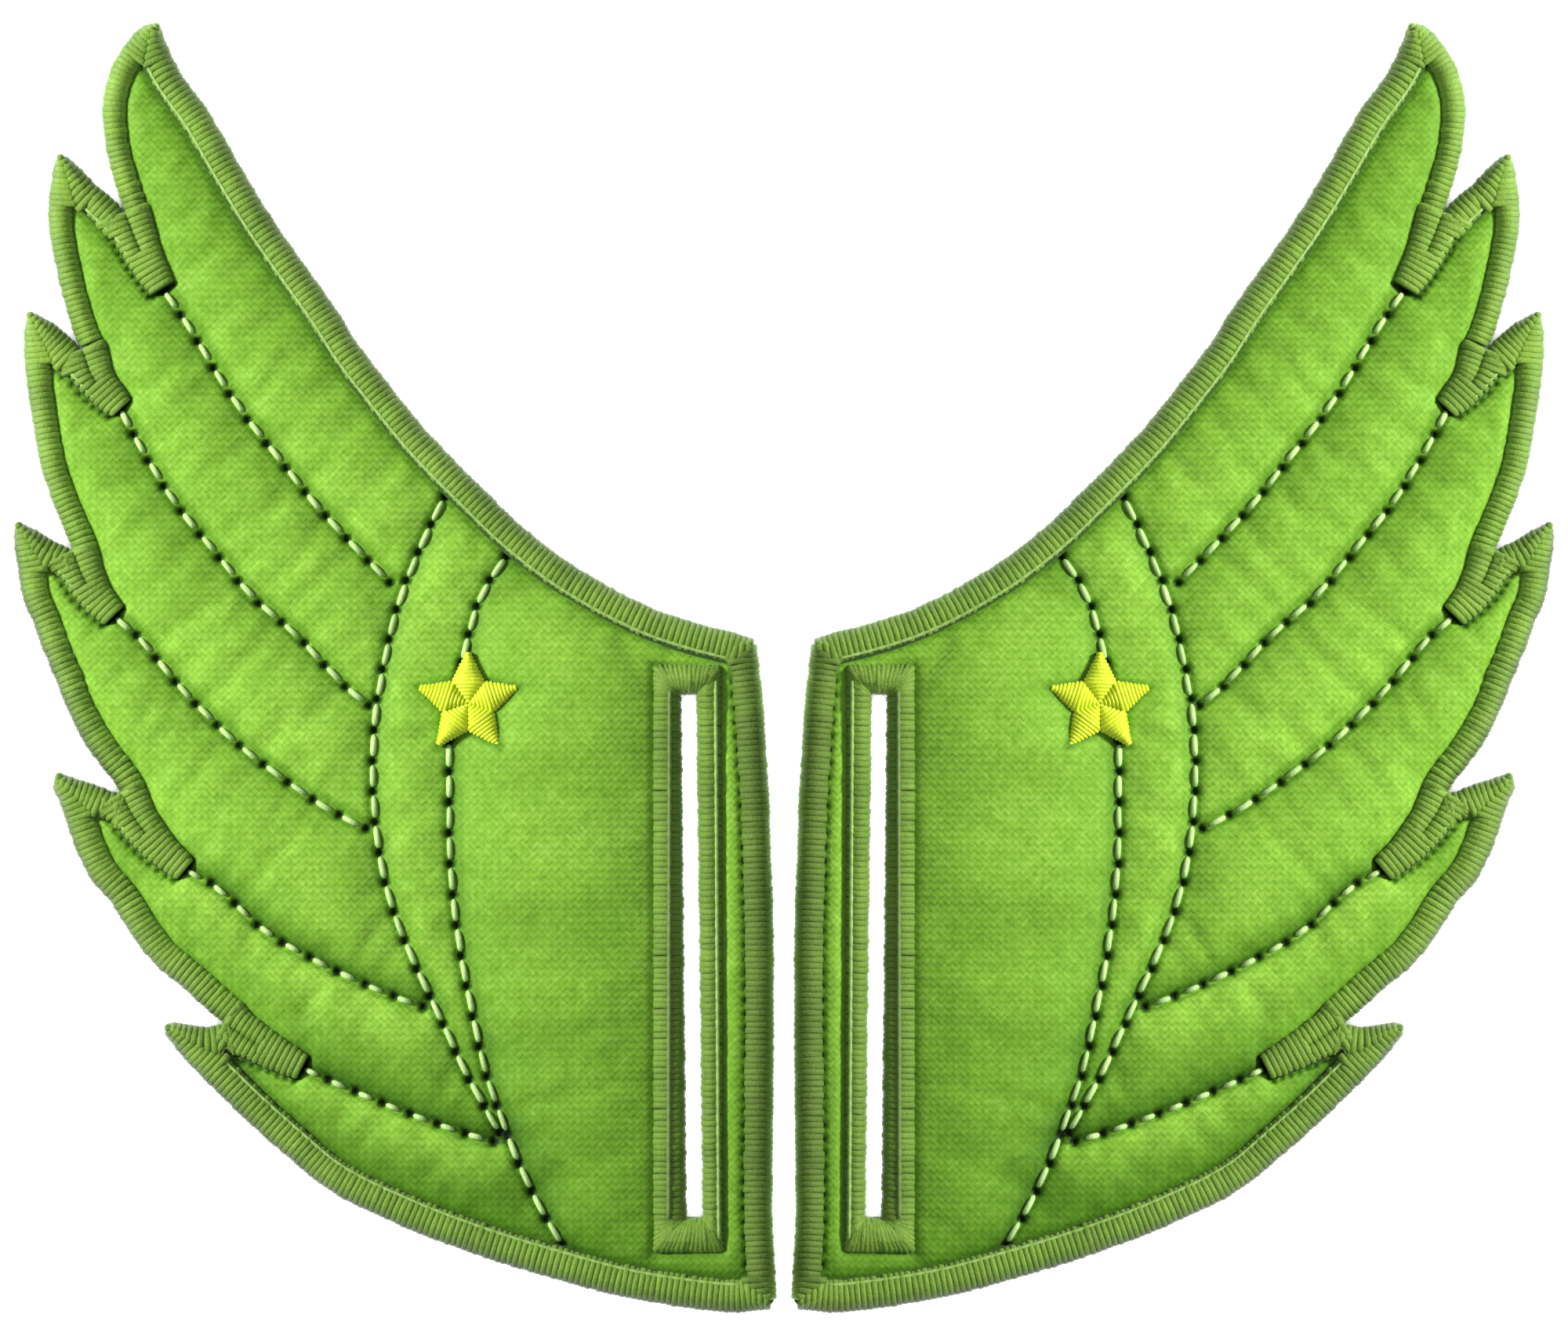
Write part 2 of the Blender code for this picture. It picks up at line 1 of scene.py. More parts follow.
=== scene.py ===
"""The looks of a pair of quilted, embroidered lace-in wings, built round the fixed CAD frame."""

import math
import random

import bmesh
import bpy
import numpy as np
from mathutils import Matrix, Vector
from mathutils.bvhtree import BVHTree
from mathutils.geometry import delaunay_2d_cdt


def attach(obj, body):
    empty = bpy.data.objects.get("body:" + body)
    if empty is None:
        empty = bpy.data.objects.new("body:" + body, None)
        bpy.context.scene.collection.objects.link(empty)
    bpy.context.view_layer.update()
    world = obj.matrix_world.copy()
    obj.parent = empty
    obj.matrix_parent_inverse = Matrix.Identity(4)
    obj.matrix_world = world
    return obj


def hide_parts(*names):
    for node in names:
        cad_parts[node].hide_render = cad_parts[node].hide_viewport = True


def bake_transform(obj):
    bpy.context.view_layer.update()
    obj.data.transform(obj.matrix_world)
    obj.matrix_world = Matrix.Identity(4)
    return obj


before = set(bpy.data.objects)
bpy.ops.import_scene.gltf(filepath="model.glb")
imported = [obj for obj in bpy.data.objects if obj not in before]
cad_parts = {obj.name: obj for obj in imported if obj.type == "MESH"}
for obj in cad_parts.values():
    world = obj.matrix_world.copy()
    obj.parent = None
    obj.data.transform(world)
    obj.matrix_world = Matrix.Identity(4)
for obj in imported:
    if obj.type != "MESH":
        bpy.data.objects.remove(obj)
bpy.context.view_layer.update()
MM = 0.001

# ----------------------------------------------------------------------------------------------------------------
# Pattern, in millimetres: u outward from the middle plane between the wings, y up from the lowest edge
# ----------------------------------------------------------------------------------------------------------------

OUTLINE = [
    [(2.9, 63.8), (4.5, 64.3), (7.7, 65.1), (12.0, 66.5), (16.2, 68.5), (21.1, 71.5), (25.4, 74.9), (28.8, 78.2), (33.7, 83.2), (37.3, 87.6), (40.4, 91.6), (42.9, 95.5), (46.1, 100.0), (49.0, 104.2), (51.8, 108.8), (54.9, 114.1), (57.6, 117.9), (58.8, 120.4), (59.5, 122.4)],
    [(59.5, 122.4), (60.8, 122.2), (62.5, 120.4), (63.8, 118.3), (64.5, 115.9), (64.7, 113.9), (64.4, 110.9), (63.7, 107.9), (62.9, 105.6), (62.5, 104.2)],
    [(62.5, 104.2), (64.2, 105.9), (65.9, 107.4), (67.4, 109.0), (68.9, 110.0)],
    [(68.9, 110.0), (69.3, 108.7), (69.7, 106.5), (69.8, 103.1), (69.4, 100.7), (68.8, 97.9), (68.2, 95.5), (67.3, 92.8), (66.6, 91.2)],
    [(66.6, 91.2), (67.4, 91.9), (68.4, 92.9), (69.6, 93.9), (71.8, 95.0)],
    [(71.8, 95.0), (72.1, 93.4), (72.1, 90.8), (71.8, 87.8), (71.3, 84.4), (70.6, 80.6), (69.7, 77.7), (68.7, 75.3), (67.6, 72.6), (67.5, 72.1)],
    [(67.5, 72.1), (68.4, 72.6), (69.7, 73.2), (70.9, 74.0), (72.9, 75.0)],
    [(72.9, 75.0), (73.1, 73.6), (72.8, 71.2), (72.3, 68.0), (71.3, 65.6), (70.2, 62.6), (69.0, 59.7), (67.8, 56.7), (66.2, 53.8), (64.6, 51.6), (63.6, 50.4), (62.9, 49.1)],
    [(62.9, 49.1), (64.2, 49.4), (65.6, 50.0), (67.4, 50.5), (69.1, 51.1)],
    [(69.1, 51.1), (69.4, 50.1), (68.8, 48.5), (68.1, 46.4), (67.0, 43.5), (65.7, 41.0), (63.8, 38.8), (62.0, 35.9), (59.6, 32.9), (57.5, 31.2), (55.6, 29.5), (53.9, 28.0), (53.0, 27.3)],
    [(53.0, 27.3), (54.9, 26.9), (56.4, 27.1), (58.2, 27.3), (58.8, 27.1)],
    [(58.8, 27.1), (58.8, 26.4), (57.8, 25.2), (56.8, 23.9), (53.8, 20.9), (50.8, 18.0), (47.4, 15.0), (44.1, 12.2), (41.1, 10.4), (38.1, 9.0), (34.4, 7.4), (30.4, 5.9), (26.2, 4.5), (21.4, 3.1), (15.9, 1.6), (10.3, 0.6), (4.5, 0.0), (1.3, 0.3)],
    [(1.3, 0.3), (0.9, 0.4), (0.8, 1.2)],
    [(0.8, 1.2), (1.2, 8.3), (1.2, 15.0), (1.1, 26.9), (1.1, 35.9), (1.3, 41.9), (1.5, 47.9), (1.8, 53.1), (2.1, 57.6), (2.5, 61.3), (2.7, 63.4)],
    [(2.7, 63.4), (2.9, 63.8)],
]
TAILS = [
    [(62.5, 104.2), (61.8, 102.4), (60.6, 99.7), (59.1, 97.2)],
    [(66.6, 91.2), (65.7, 88.9), (64.5, 87.4), (63.2, 86.0)],
    [(67.5, 72.1), (66.6, 69.9), (65.4, 67.9), (63.8, 66.2)],
    [(62.9, 49.1), (61.6, 46.8), (59.4, 44.1), (57.1, 42.1)],
    [(53.0, 27.3), (50.8, 25.9), (48.4, 24.5), (45.9, 23.2)],
]
SEAMS = {
    "feather_seam_1": [(59.1, 97.2), (57.5, 95.0), (55.9, 92.5), (54.4, 90.0), (51.5, 85.5), (48.1, 81.2), (44.4, 76.6), (40.7, 72.6), (37.4, 69.3)],
    "feather_seam_2": [(63.2, 86.0), (61.1, 82.1), (58.1, 77.2), (54.4, 72.6), (50.6, 68.0), (46.1, 64.1), (42.0, 59.7), (39.4, 57.6)],
    "feather_seam_3": [(63.8, 66.2), (61.4, 64.2), (57.6, 59.6), (53.4, 55.3), (48.8, 51.5), (43.7, 48.0), (39.7, 45.9)],
    "feather_seam_4": [(57.1, 42.1), (53.7, 40.2), (49.4, 36.2), (44.4, 33.3), (38.7, 30.6), (34.3, 28.9)],
    "feather_seam_5": [(45.9, 23.2), (42.1, 21.5), (35.9, 18.9), (29.4, 16.6), (27.6, 16.1)],
    "outer_spine_seam": [(32.2, 77.5), (34.2, 73.4), (36.4, 68.0), (37.8, 62.6), (38.8, 57.0), (39.1, 51.0), (38.7, 45.2), (37.6, 39.6), (35.4, 33.7), (32.8, 28.2), (30.1, 22.4), (27.0, 17.0)],
    "inner_spine_seam": [(25.8, 72.6), (28.8, 68.0), (29.7, 65.2), (31.0, 59.8), (31.8, 54.6), (31.8, 50.3), (31.8, 44.4), (31.6, 41.3), (30.9, 35.1), (29.7, 28.7), (28.3, 22.6), (27.2, 19.4), (25.1, 13.8), (23.5, 10.5), (21.7, 7.3), (20.8, 5.9)],
}
SLOT = [(7.6, 8.8), (9.4, 8.8), (9.9, 58.8), (8.2, 58.8)]
SLOT_BINDING = [(5.8, 5.6), (12.4, 5.6), (12.4, 61.5), (6.0, 61.0)]
STAR_CENTRE = np.array([30.0, 57.8])
STAR_R = 5.0
STAR_WAIST = 0.5
BORDER_WIDTHS = [2.9, 2.0, 2.8, 2.05, 3.0, 2.15, 2.6, 2.3, 2.6, 2.55, 2.2, 3.1, 2.5, 2.5, 2.5]
# the pale thread on these sides is a painted highlight on the border's inner edge, where it faces the light
RIDGED = (0, 2, 4, 6, 8, 10, 11, 12)  # sides whose border has a straight thread along its inner edge
TAIL_START, TAIL_END = 2.3, 1.35
MIDDLE_Y = 61.16
FOLD_U, FOLD_ZONE = 18.5, 6.0
STITCH_PITCH = 2.9  # running stitch
SATIN_PITCH = 0.56
PRESSED = 1.72  # top of the face cloth where a border presses on it
CELL = 0.25


def smooth_curve(points, pitch):
    p = np.array(points, float)
    p = np.vstack([2 * p[0] - p[1], p, 2 * p[-1] - p[-2]])
    found = []
    for a, b, c, d in zip(p, p[1:], p[2:], p[3:]):
        t = np.cumsum([0] + [math.sqrt(np.linalg.norm(n - m)) for m, n in ((a, b), (b, c), (c, d))])
        count = max(1, round(np.linalg.norm(c - b) / pitch))
        for s in np.linspace(t[1], t[2], count, endpoint=False):
            ab = ((t[1] - s) * a + (s - t[0]) * b) / (t[1] - t[0])
            bc = ((t[2] - s) * b + (s - t[1]) * c) / (t[2] - t[1])
            cd = ((t[3] - s) * c + (s - t[2]) * d) / (t[3] - t[2])
            abc = ((t[2] - s) * ab + (s - t[0]) * bc) / (t[2] - t[0])
            bcd = ((t[3] - s) * bc + (s - t[1]) * cd) / (t[3] - t[1])
            found.append(((t[2] - s) * abc + (s - t[1]) * bcd) / (t[2] - t[1]))
    found.append(p[-2])
    return np.array(found)


def spaced(line, pitch):
    steps = np.linalg.norm(np.diff(line, axis=0), axis=1)
    along = np.concatenate([[0], np.cumsum(steps)])
    at = np.linspace(0, along[-1], max(2, round(along[-1] / pitch) + 1))
    return np.column_stack([np.interp(at, along, line[:, i]) for i in (0, 1)])


def closed(loop):
    return np.vstack([loop, loop[:1]])


def nearest(points, line):
    """Distance to the line, length along it to the nearest place, and side (positive to the left of the line)."""
    points = np.atleast_2d(np.asarray(points, float))
    best = np.full(len(points), np.inf)
    where = np.zeros(len(points))
    side = np.zeros(len(points))
    run = 0.0
    for a, b in zip(line, line[1:]):
        ab = b - a
        size = float(np.hypot(*ab))
        if size < 1e-9:
            continue
        rel = points - a
        t = np.clip((rel @ ab) / size**2, 0, 1)
        d = np.hypot(rel[:, 0] - t * ab[0], rel[:, 1] - t * ab[1])
        closer = d < best
        best[closer] = d[closer]
        where[closer] = run + t[closer] * size
        side[closer] = np.sign(ab[0] * rel[closer, 1] - ab[1] * rel[closer, 0])
        run += size
    return best, where, side


def nearest_point(points, line):
    """The nearest place on the line to each point."""
    points = np.atleast_2d(np.asarray(points, float))
    best = np.full(len(points), np.inf)
    found = np.zeros_like(points)
    for a, b in zip(line, line[1:]):
        ab = b - a
        size = float(ab @ ab)
        if size < 1e-12:
            continue
        t = np.clip(((points - a) @ ab) / size, 0, 1)
        q = a + t[:, None] * ab
        d = np.hypot(*(points - q).T)
        closer = d < best
        best[closer] = d[closer]
        found[closer] = q[closer]
    return found, best


def inside(points, loop):
    x, y = np.atleast_2d(np.asarray(points, float)).T
    found = np.zeros(len(x), bool)
    for (ax, ay), (bx, by) in zip(loop, np.roll(loop, -1, axis=0)):
        if ay == by:
            continue
        crosses = (ay > y) != (by > y)
        found ^= crosses & (x < (bx - ax) * (y - ay) / (by - ay) + ax)
    return found


def beyond(points, corners):
    points = np.atleast_2d(np.asarray(points, float))
    sides = []
    for a, b in zip(corners, corners[1:] + corners[:1]):
        way = np.subtract(b, a) / math.dist(a, b)
        sides.append((points - a) @ np.array([way[1], -way[0]]))
    return np.max(sides, axis=0)


OUTER = np.vstack([smooth_curve(run, 0.8)[:-1] for run in OUTLINE])
TAIL_LINES = [smooth_curve(tail, 0.5) for tail in TAILS]
SEAM_LINES = {name: smooth_curve(points, 0.8) for name, points in SEAMS.items()}


class Field:
    """Values on a fine grid over the pattern, read in between by bilinear interpolation."""

    def __init__(self, pitch):
        self.pitch = pitch
        self.us = np.arange(-1.5, 75.5, pitch)
        self.ys = np.arange(-1.5, 124.5, pitch)
        uu, yy = np.meshgrid(self.us, self.ys, indexing="ij")
        self.nodes = np.column_stack([uu.ravel(), yy.ravel()])
        self.shape = uu.shape

    def read(self, values, points):
        points = np.atleast_2d(np.asarray(points, float))
        i = np.clip((points[:, 0] - self.us[0]) / self.pitch, 0, self.shape[0] - 1.001)
        j = np.clip((points[:, 1] - self.ys[0]) / self.pitch, 0, self.shape[1] - 1.001)
        a, b = i.astype(int), j.astype(int)
        f, g = i - a, j - b
        return (
            values[a, b] * (1 - f) * (1 - g)
            + values[a + 1, b] * f * (1 - g)
            + values[a, b + 1] * (1 - f) * g
            + values[a + 1, b + 1] * f * g
        )


G = Field(CELL)


def soften(values, times):
    """A small blur, applied a number of times."""
    for _ in range(times):
        v = np.pad(values, 1, mode="edge")
        values = (v[1:-1, 1:-1] * 4 + v[:-2, 1:-1] * 2 + v[2:, 1:-1] * 2 + v[1:-1, :-2] * 2 + v[1:-1, 2:] * 2 + v[:-2, :-2] + v[:-2, 2:] + v[2:, :-2] + v[2:, 2:]) / 16
    return values


def value_noise(points, scale, seed):
    """Smooth noise from -1 to 1 over the plane, seeded."""
    rng = np.random.RandomState(seed)
    table = rng.uniform(-1, 1, (256, 256))
    p = points / scale + 37.3
    i = np.floor(p).astype(int)
    f = p - i
    f = f * f * (3 - 2 * f)
    a, b = i[:, 0] % 256, i[:, 1] % 256
    a1, b1 = (a + 1) % 256, (b + 1) % 256
    return (table[a, b] * (1 - f[:, 0]) + table[a1, b] * f[:, 0]) * (1 - f[:, 1]) + (table[a, b1] * (1 - f[:, 0]) + table[a1, b1] * f[:, 0]) * f[:, 1]


nodes = G.nodes
outer_distance, _, _ = nearest(nodes, closed(OUTER))
DEPTH = np.where(inside(nodes, OUTER), outer_distance, -outer_distance)
FREE = DEPTH.copy()
BESIDE = []  # how far each place lies beyond the border of each side
for k, (run, width) in enumerate(zip(OUTLINE, BORDER_WIDTHS)):
    line = smooth_curve(run, 0.8)
    apart, along, side = nearest(nodes, line)
    if 1 <= k <= 10:
        # a side's border lies on its own feather, and only a little of it shows across the notch
        m, ahead = line[len(line) // 2], line[len(line) // 2 + 1] - line[len(line) // 2]
        left = inside((m + 0.4 * np.array([-ahead[1], ahead[0]]) / np.hypot(*ahead))[None], OUTER)[0]
        apart = np.where(side * (1 if left else -1) < 0, 1.5 * apart, apart)
        # past the notch a side's border narrows quickly into the tail
        line = line if k % 2 else line[::-1]
        along = along if k % 2 else np.linalg.norm(np.diff(line, axis=0), axis=1).sum() - along
        way = line[-1] - line[-3]
        way = way / np.hypot(*way)
        past = np.clip((nodes - line[-1]) @ way, 0, None) * (along > np.linalg.norm(np.diff(line, axis=0), axis=1).sum() - 0.01)
        apart = np.sqrt(np.clip(apart**2 - past**2, 0, None) + (2.1 * past) ** 2)
    BESIDE.append(apart - width)
    FREE = np.minimum(FREE, BESIDE[-1])
for tail in TAIL_LINES:
    way = tail[-1] - tail[-3]
    way = way / np.hypot(*way)
    longer = np.vstack([tail, tail[-1] + 4 * way])
    d, along, _ = nearest(nodes, longer)
    start = tail[2] - tail[0]
    before = np.clip((tail[0] - nodes) @ (start / np.hypot(*start)), 0, None) * (along < 0.01)
    d = np.sqrt(np.clip(d**2 - before**2, 0, None) + (2.2 * before) ** 2)
    length = np.linalg.norm(np.diff(tail, axis=0), axis=1).sum()
    half = TAIL_START + (TAIL_END - TAIL_START) * np.clip(along / length, 0, 1)
    FREE = np.minimum(FREE, np.maximum(d - half, (nodes - tail[-1]) @ way))
SLOT_OUT = beyond(nodes, SLOT_BINDING)
SLOT_IN = beyond(nodes, SLOT)
FREE = np.minimum(FREE, SLOT_OUT)
SEAM = np.full(len(nodes), np.inf)
SEAM_SIDE = np.zeros(len(nodes))
for name, line in SEAM_LINES.items():
    d, _, side = nearest(nodes, line)
    closer = d < SEAM
    SEAM[closer], SEAM_SIDE[closer] = d[closer], side[closer]
grid2 = lambda values: values.reshape(G.shape)
DEPTH, FREE, SEAM, SEAM_SIDE, SLOT_IN2 = map(grid2, (DEPTH, FREE, SEAM, SEAM_SIDE, SLOT_IN))


def free_at(points):
    return G.read(FREE, points)


# Needle holes, one every stitch along each seam that shows
HOLES = {}
for name, line in SEAM_LINES.items():
    fine = spaced(line, 0.1)
    star_away = np.hypot(*(fine - STAR_CENTRE).T)
    shows = free_at(fine) > 0.05
    under = star_away < STAR_R * 0.78
    runs, current = [], []
    for p, ok in zip(fine, shows & ~under):
        if ok:
            current.append(p)
        elif current:
            runs.append(np.array(current))
            current = []
    if current:
        runs.append(np.array(current))
    HOLES[name] = [spaced(run, STITCH_PITCH) for run in runs if len(run) > 20]
ALL_HOLES = np.vstack([hole for runs in HOLES.values() for hole in runs])

# ----------------------------------------------------------------------------------------------------------------
# Quilted surface: a cloth simulation of one wing's face, blown up between pinned borders and seams
# ----------------------------------------------------------------------------------------------------------------

STAR_LOOP = np.array(
    [(STAR_CENTRE[0] + r * math.cos(math.pi / 2 + math.pi * k / 5), STAR_CENTRE[1] + r * math.sin(math.pi / 2 + math.pi * k / 5)) for k, r in enumerate([STAR_R + 0.15, STAR_R * STAR_WAIST + 0.15] * 5)]
)
star_distance, _, _ = nearest(nodes, closed(STAR_LOOP))
STAR_OUT = grid2(np.where(inside(nodes, STAR_LOOP), -star_distance, star_distance))


def contour_loops(values, level=0.0):
    """Closed lines where a grid field crosses a level, positive side on the left."""
    value = values.ravel() - level
    value = np.where(value == 0, 1e-9, value)
    rows = G.shape[1]
    i, j = np.meshgrid(np.arange(G.shape[0] - 1), np.arange(rows - 1), indexing="ij")
    base = (i * rows + j).ravel()
    triangles = np.vstack([np.column_stack([base, base + rows, base + rows + 1]), np.column_stack([base, base + rows + 1, base + 1])])
    sign = value[triangles] > 0
    triangles = triangles[sign.any(axis=1) & ~sign.all(axis=1)]
    after, place = {}, {}
    for corners in triangles.tolist():
        leaving = entering = None
        for a, b in zip(corners, corners[1:] + corners[:1]):
            if (value[a] > 0) == (value[b] > 0):
                continue
            key = (min(a, b), max(a, b))
            share = value[a] / (value[a] - value[b])
            place[key] = nodes[a] + share * (nodes[b] - nodes[a])
            if value[a] > 0:
                leaving = key
            else:
                entering = key
        after[leaving] = entering
    loops = []
    while after:
        key = first = next(iter(after))
        loop = []
        while True:
            loop.append(place[key])
            key = after.pop(key)
            if key == first:
                break
        if len(loop) > 30:
            loops.append(np.array(loop))
    return sorted(loops, key=len, reverse=True)


FREE_LOOPS = contour_loops(FREE)
FREE_EDGE = closed(FREE_LOOPS[0])
SIM_SCALE = 0.02  # metres in the simulation for a millimetre of cloth
SEAM_Z = 1.80  # where a seam holds the cloth down
STAR_Z = 2.40


def simulated():
    """Height of the cloth over the grid from Blender's cloth solver."""
    flat_points, edges = [], []
    for loop in FREE_LOOPS:
        ring = spaced(closed(loop), 1.1)[:-1]
        start = len(flat_points)
        flat_points += [tuple(q) for q in ring]
        edges += [(start + k, start + (k + 1) % len(ring)) for k in range(len(ring))]
    for line in SEAM_LINES.values():
        last = None
        for q in spaced(line, STITCH_PITCH / 3):
            if free_at(q)[0] < 0.7 or (flat_points and np.min(np.hypot(*(np.array(flat_points) - q).T)) < 0.45):
                last = None
                continue
            flat_points.append(tuple(q))
            if last is not None:
                edges.append((last, len(flat_points) - 1))
            last = len(flat_points) - 1
    pitch = 1.05
    shake = np.random.RandomState(5)
    row = 0
    y = 0.0
    while y < 123:
        us = np.arange(0.5 * pitch * (row % 2), 74, pitch)
        q = np.column_stack([us, np.full(len(us), y)]) + shake.uniform(-0.12, 0.12, (len(us), 2))
        keep = (free_at(q) > 0.6) & (G.read(SEAM, q) > 0.6)
        flat_points += [tuple(v) for v in q[keep]]
        y += pitch * 0.866
        row += 1
    made, _, triangles, _, _, _ = delaunay_2d_cdt([Vector(q) for q in flat_points], edges, [], 0, 1e-5)
    made = np.array([tuple(v) for v in made])
    middle = np.array([np.mean(made[list(t)], axis=0) for t in triangles])
    keep = free_at(middle) > 0.0
    triangles = [tuple(t) for t, ok in zip(triangles, keep) if ok]
    edge_near = free_at(made) < 0.12
    seam_near = G.read(SEAM, made) < 0.22
    star_near = G.read(STAR_OUT, made) < -0.35
    z = np.where(edge_near, PRESSED, np.where(seam_near, SEAM_Z, np.where(star_near, STAR_Z, PRESSED + 0.35)))
    mesh = bpy.data.meshes.new("quilt_simulation")
    mesh.from_pydata((np.column_stack([made, z]) * SIM_SCALE).tolist(), [], triangles)
    obj = bpy.data.objects.new("quilt_simulation", mesh)
    bpy.context.scene.collection.objects.link(obj)
    group = obj.vertex_groups.new(name="pin")
    group.add(np.nonzero(edge_near | seam_near | star_near)[0].tolist(), 1.0, "REPLACE")
    cloth = obj.modifiers.new("Cloth", "CLOTH")
    settings = cloth.settings
    settings.quality = 5
    settings.mass = 0.15
    settings.tension_stiffness = 18
    settings.compression_stiffness = 18
    settings.shear_stiffness = 6
    settings.bending_stiffness = 4.0
    settings.air_damping = 4
    settings.vertex_group_mass = "pin"
    settings.use_pressure = True
    settings.uniform_pressure_force = 20
    settings.shrink_min = -0.022
    settings.shrink_max = -0.022
    settings.effector_weights.gravity = 0
    cloth.collision_settings.use_collision = False
    scene = bpy.context.scene
    cloth.point_cache.frame_start, cloth.point_cache.frame_end = 1, 40
    for frame_number in range(1, 33):
        scene.frame_set(frame_number)
    graph = bpy.context.evaluated_depsgraph_get()
    done = obj.evaluated_get(graph).to_mesh()
    co = np.empty(len(done.vertices) * 3)
    done.vertices.foreach_get("co", co)
    co = co.reshape(-1, 3) / SIM_SCALE
    scene.frame_set(1)
    bpy.data.objects.remove(obj)
    bpy.data.meshes.remove(mesh)
    tree = BVHTree.FromPolygons([Vector(v) for v in co], triangles)
    height = np.full(len(nodes), PRESSED)
    for i in np.nonzero(FREE.ravel() > 0)[0]:
        hit = tree.ray_cast(Vector((nodes[i, 0], nodes[i, 1], 40.0)), Vector((0, 0, -1)))[0]
        if hit is not None:
            height[i] = hit.z
    print("cloth:", len(co), "points, height", round(float(co[:, 2].min()), 2), round(float(co[:, 2].max()), 2), "mm")
    return grid2(height)


HEIGHT = simulated()
over = HEIGHT - PRESSED
HEIGHT = PRESSED + np.where(over > 0, 2.3 * np.tanh(over / 2.3), over)
flat = nodes
ripple = np.zeros(len(flat))
# soft horizontal puckers across the padded panel
panel = np.clip((29.5 - flat[:, 0]) / 6, 0, 1) * np.clip((flat[:, 0] - 12.6) / 3, 0, 1)
for y, depth_mm, width in ((50.2, 0.25, 2.6), (36.6, 0.36, 3.0), (25.6, 0.30, 2.8), (16.2, 0.25, 2.4), (58.5, 0.12, 2.0)):
    lean = (flat[:, 0] - 20) * 0.10
    ripple -= depth_mm * np.exp(-(((flat[:, 1] - y - lean) / width) ** 2)) * panel
RIPPLE = ripple.reshape(G.shape)
HEIGHT = HEIGHT + RIPPLE
HEIGHT += grid2(0.05 * value_noise(flat, 2.6, 3) + 0.03 * value_noise(flat, 1.2, 4)) * np.clip(FREE / 1.5, 0, 1)
HEIGHT = soften(HEIGHT, 7)
# the cloth drops into a groove where the border's stitches end
HEIGHT -= 0.16 * np.exp(-((np.clip(FREE, 0, None) / 0.35) ** 2))
# the stitching channel, and a dimple at each needle hole
HEIGHT -= 0.20 * np.exp(-((SEAM / 0.5) ** 2)) * (FREE > 0)


def distance_field(places, reach=2.0):
    """Distance over the grid to the nearest of some places."""
    found = np.full(len(flat), 9.0)
    for place in places:
        i0 = max(int((place[0] - G.us[0] - reach) / CELL), 0)
        j0 = max(int((place[1] - G.ys[0] - reach) / CELL), 0)
        span = int(2 * reach / CELL) + 1
        ii, jj = np.meshgrid(np.arange(i0, min(i0 + span, G.shape[0])), np.arange(j0, min(j0 + span, G.shape[1])), indexing="ij")
        at = (ii * G.shape[1] + jj).ravel()
        found[at] = np.minimum(found[at], np.hypot(G.us[ii] - place[0], G.ys[jj] - place[1]).ravel())
    return grid2(found)


HOLE = distance_field(ALL_HOLES)
# where the tails end: a slit of needle holes across the end, and small holes along the lower side
slits, small = [], []
for tail in TAIL_LINES:
    way = tail[-1] - tail[-3]
    way /= np.hypot(*way)
    side = np.array([-way[1], way[0]])
    for t in np.linspace(-TAIL_END * 0.85, TAIL_END * 0.85, 9):
        slits.append(tail[-1] + way * 0.22 + side * t)
    walk = spaced(tail, 0.8)
    for q, w in zip(walk[2:], np.diff(walk, axis=0)[1:]):
        w = w / np.hypot(*w)
        out = np.array([w[1], -w[0]])
        if out[1] > 0:
            out = -out
        for t in np.arange(0.5, 4.2, 0.1):
            if free_at(q + out * t)[0] > 0.12:
                small.append(q + out * t)
                break
for y in np.arange(4.5, 61.0, 1.32):
    edge = np.array([1.0, y])
    for t in np.arange(1.8, 4.6, 0.1):
        if free_at(edge + np.array([t, 0.0]))[0] > 0.02:
            small.append(edge + np.array([t, 0.0]))
            break
SLIT = distance_field(slits)
SMALL = distance_field(small)
HEIGHT -= 0.60 * np.exp(-((HOLE / 0.42) ** 2)) + 0.4 * np.exp(-((SLIT / 0.3) ** 2)) + 0.25 * np.exp(-((SMALL / 0.25) ** 2))


def height_at(points):
    return G.read(HEIGHT, points)


# ----------------------------------------------------------------------------------------------------------------
# Mesh tools
# ----------------------------------------------------------------------------------------------------------------


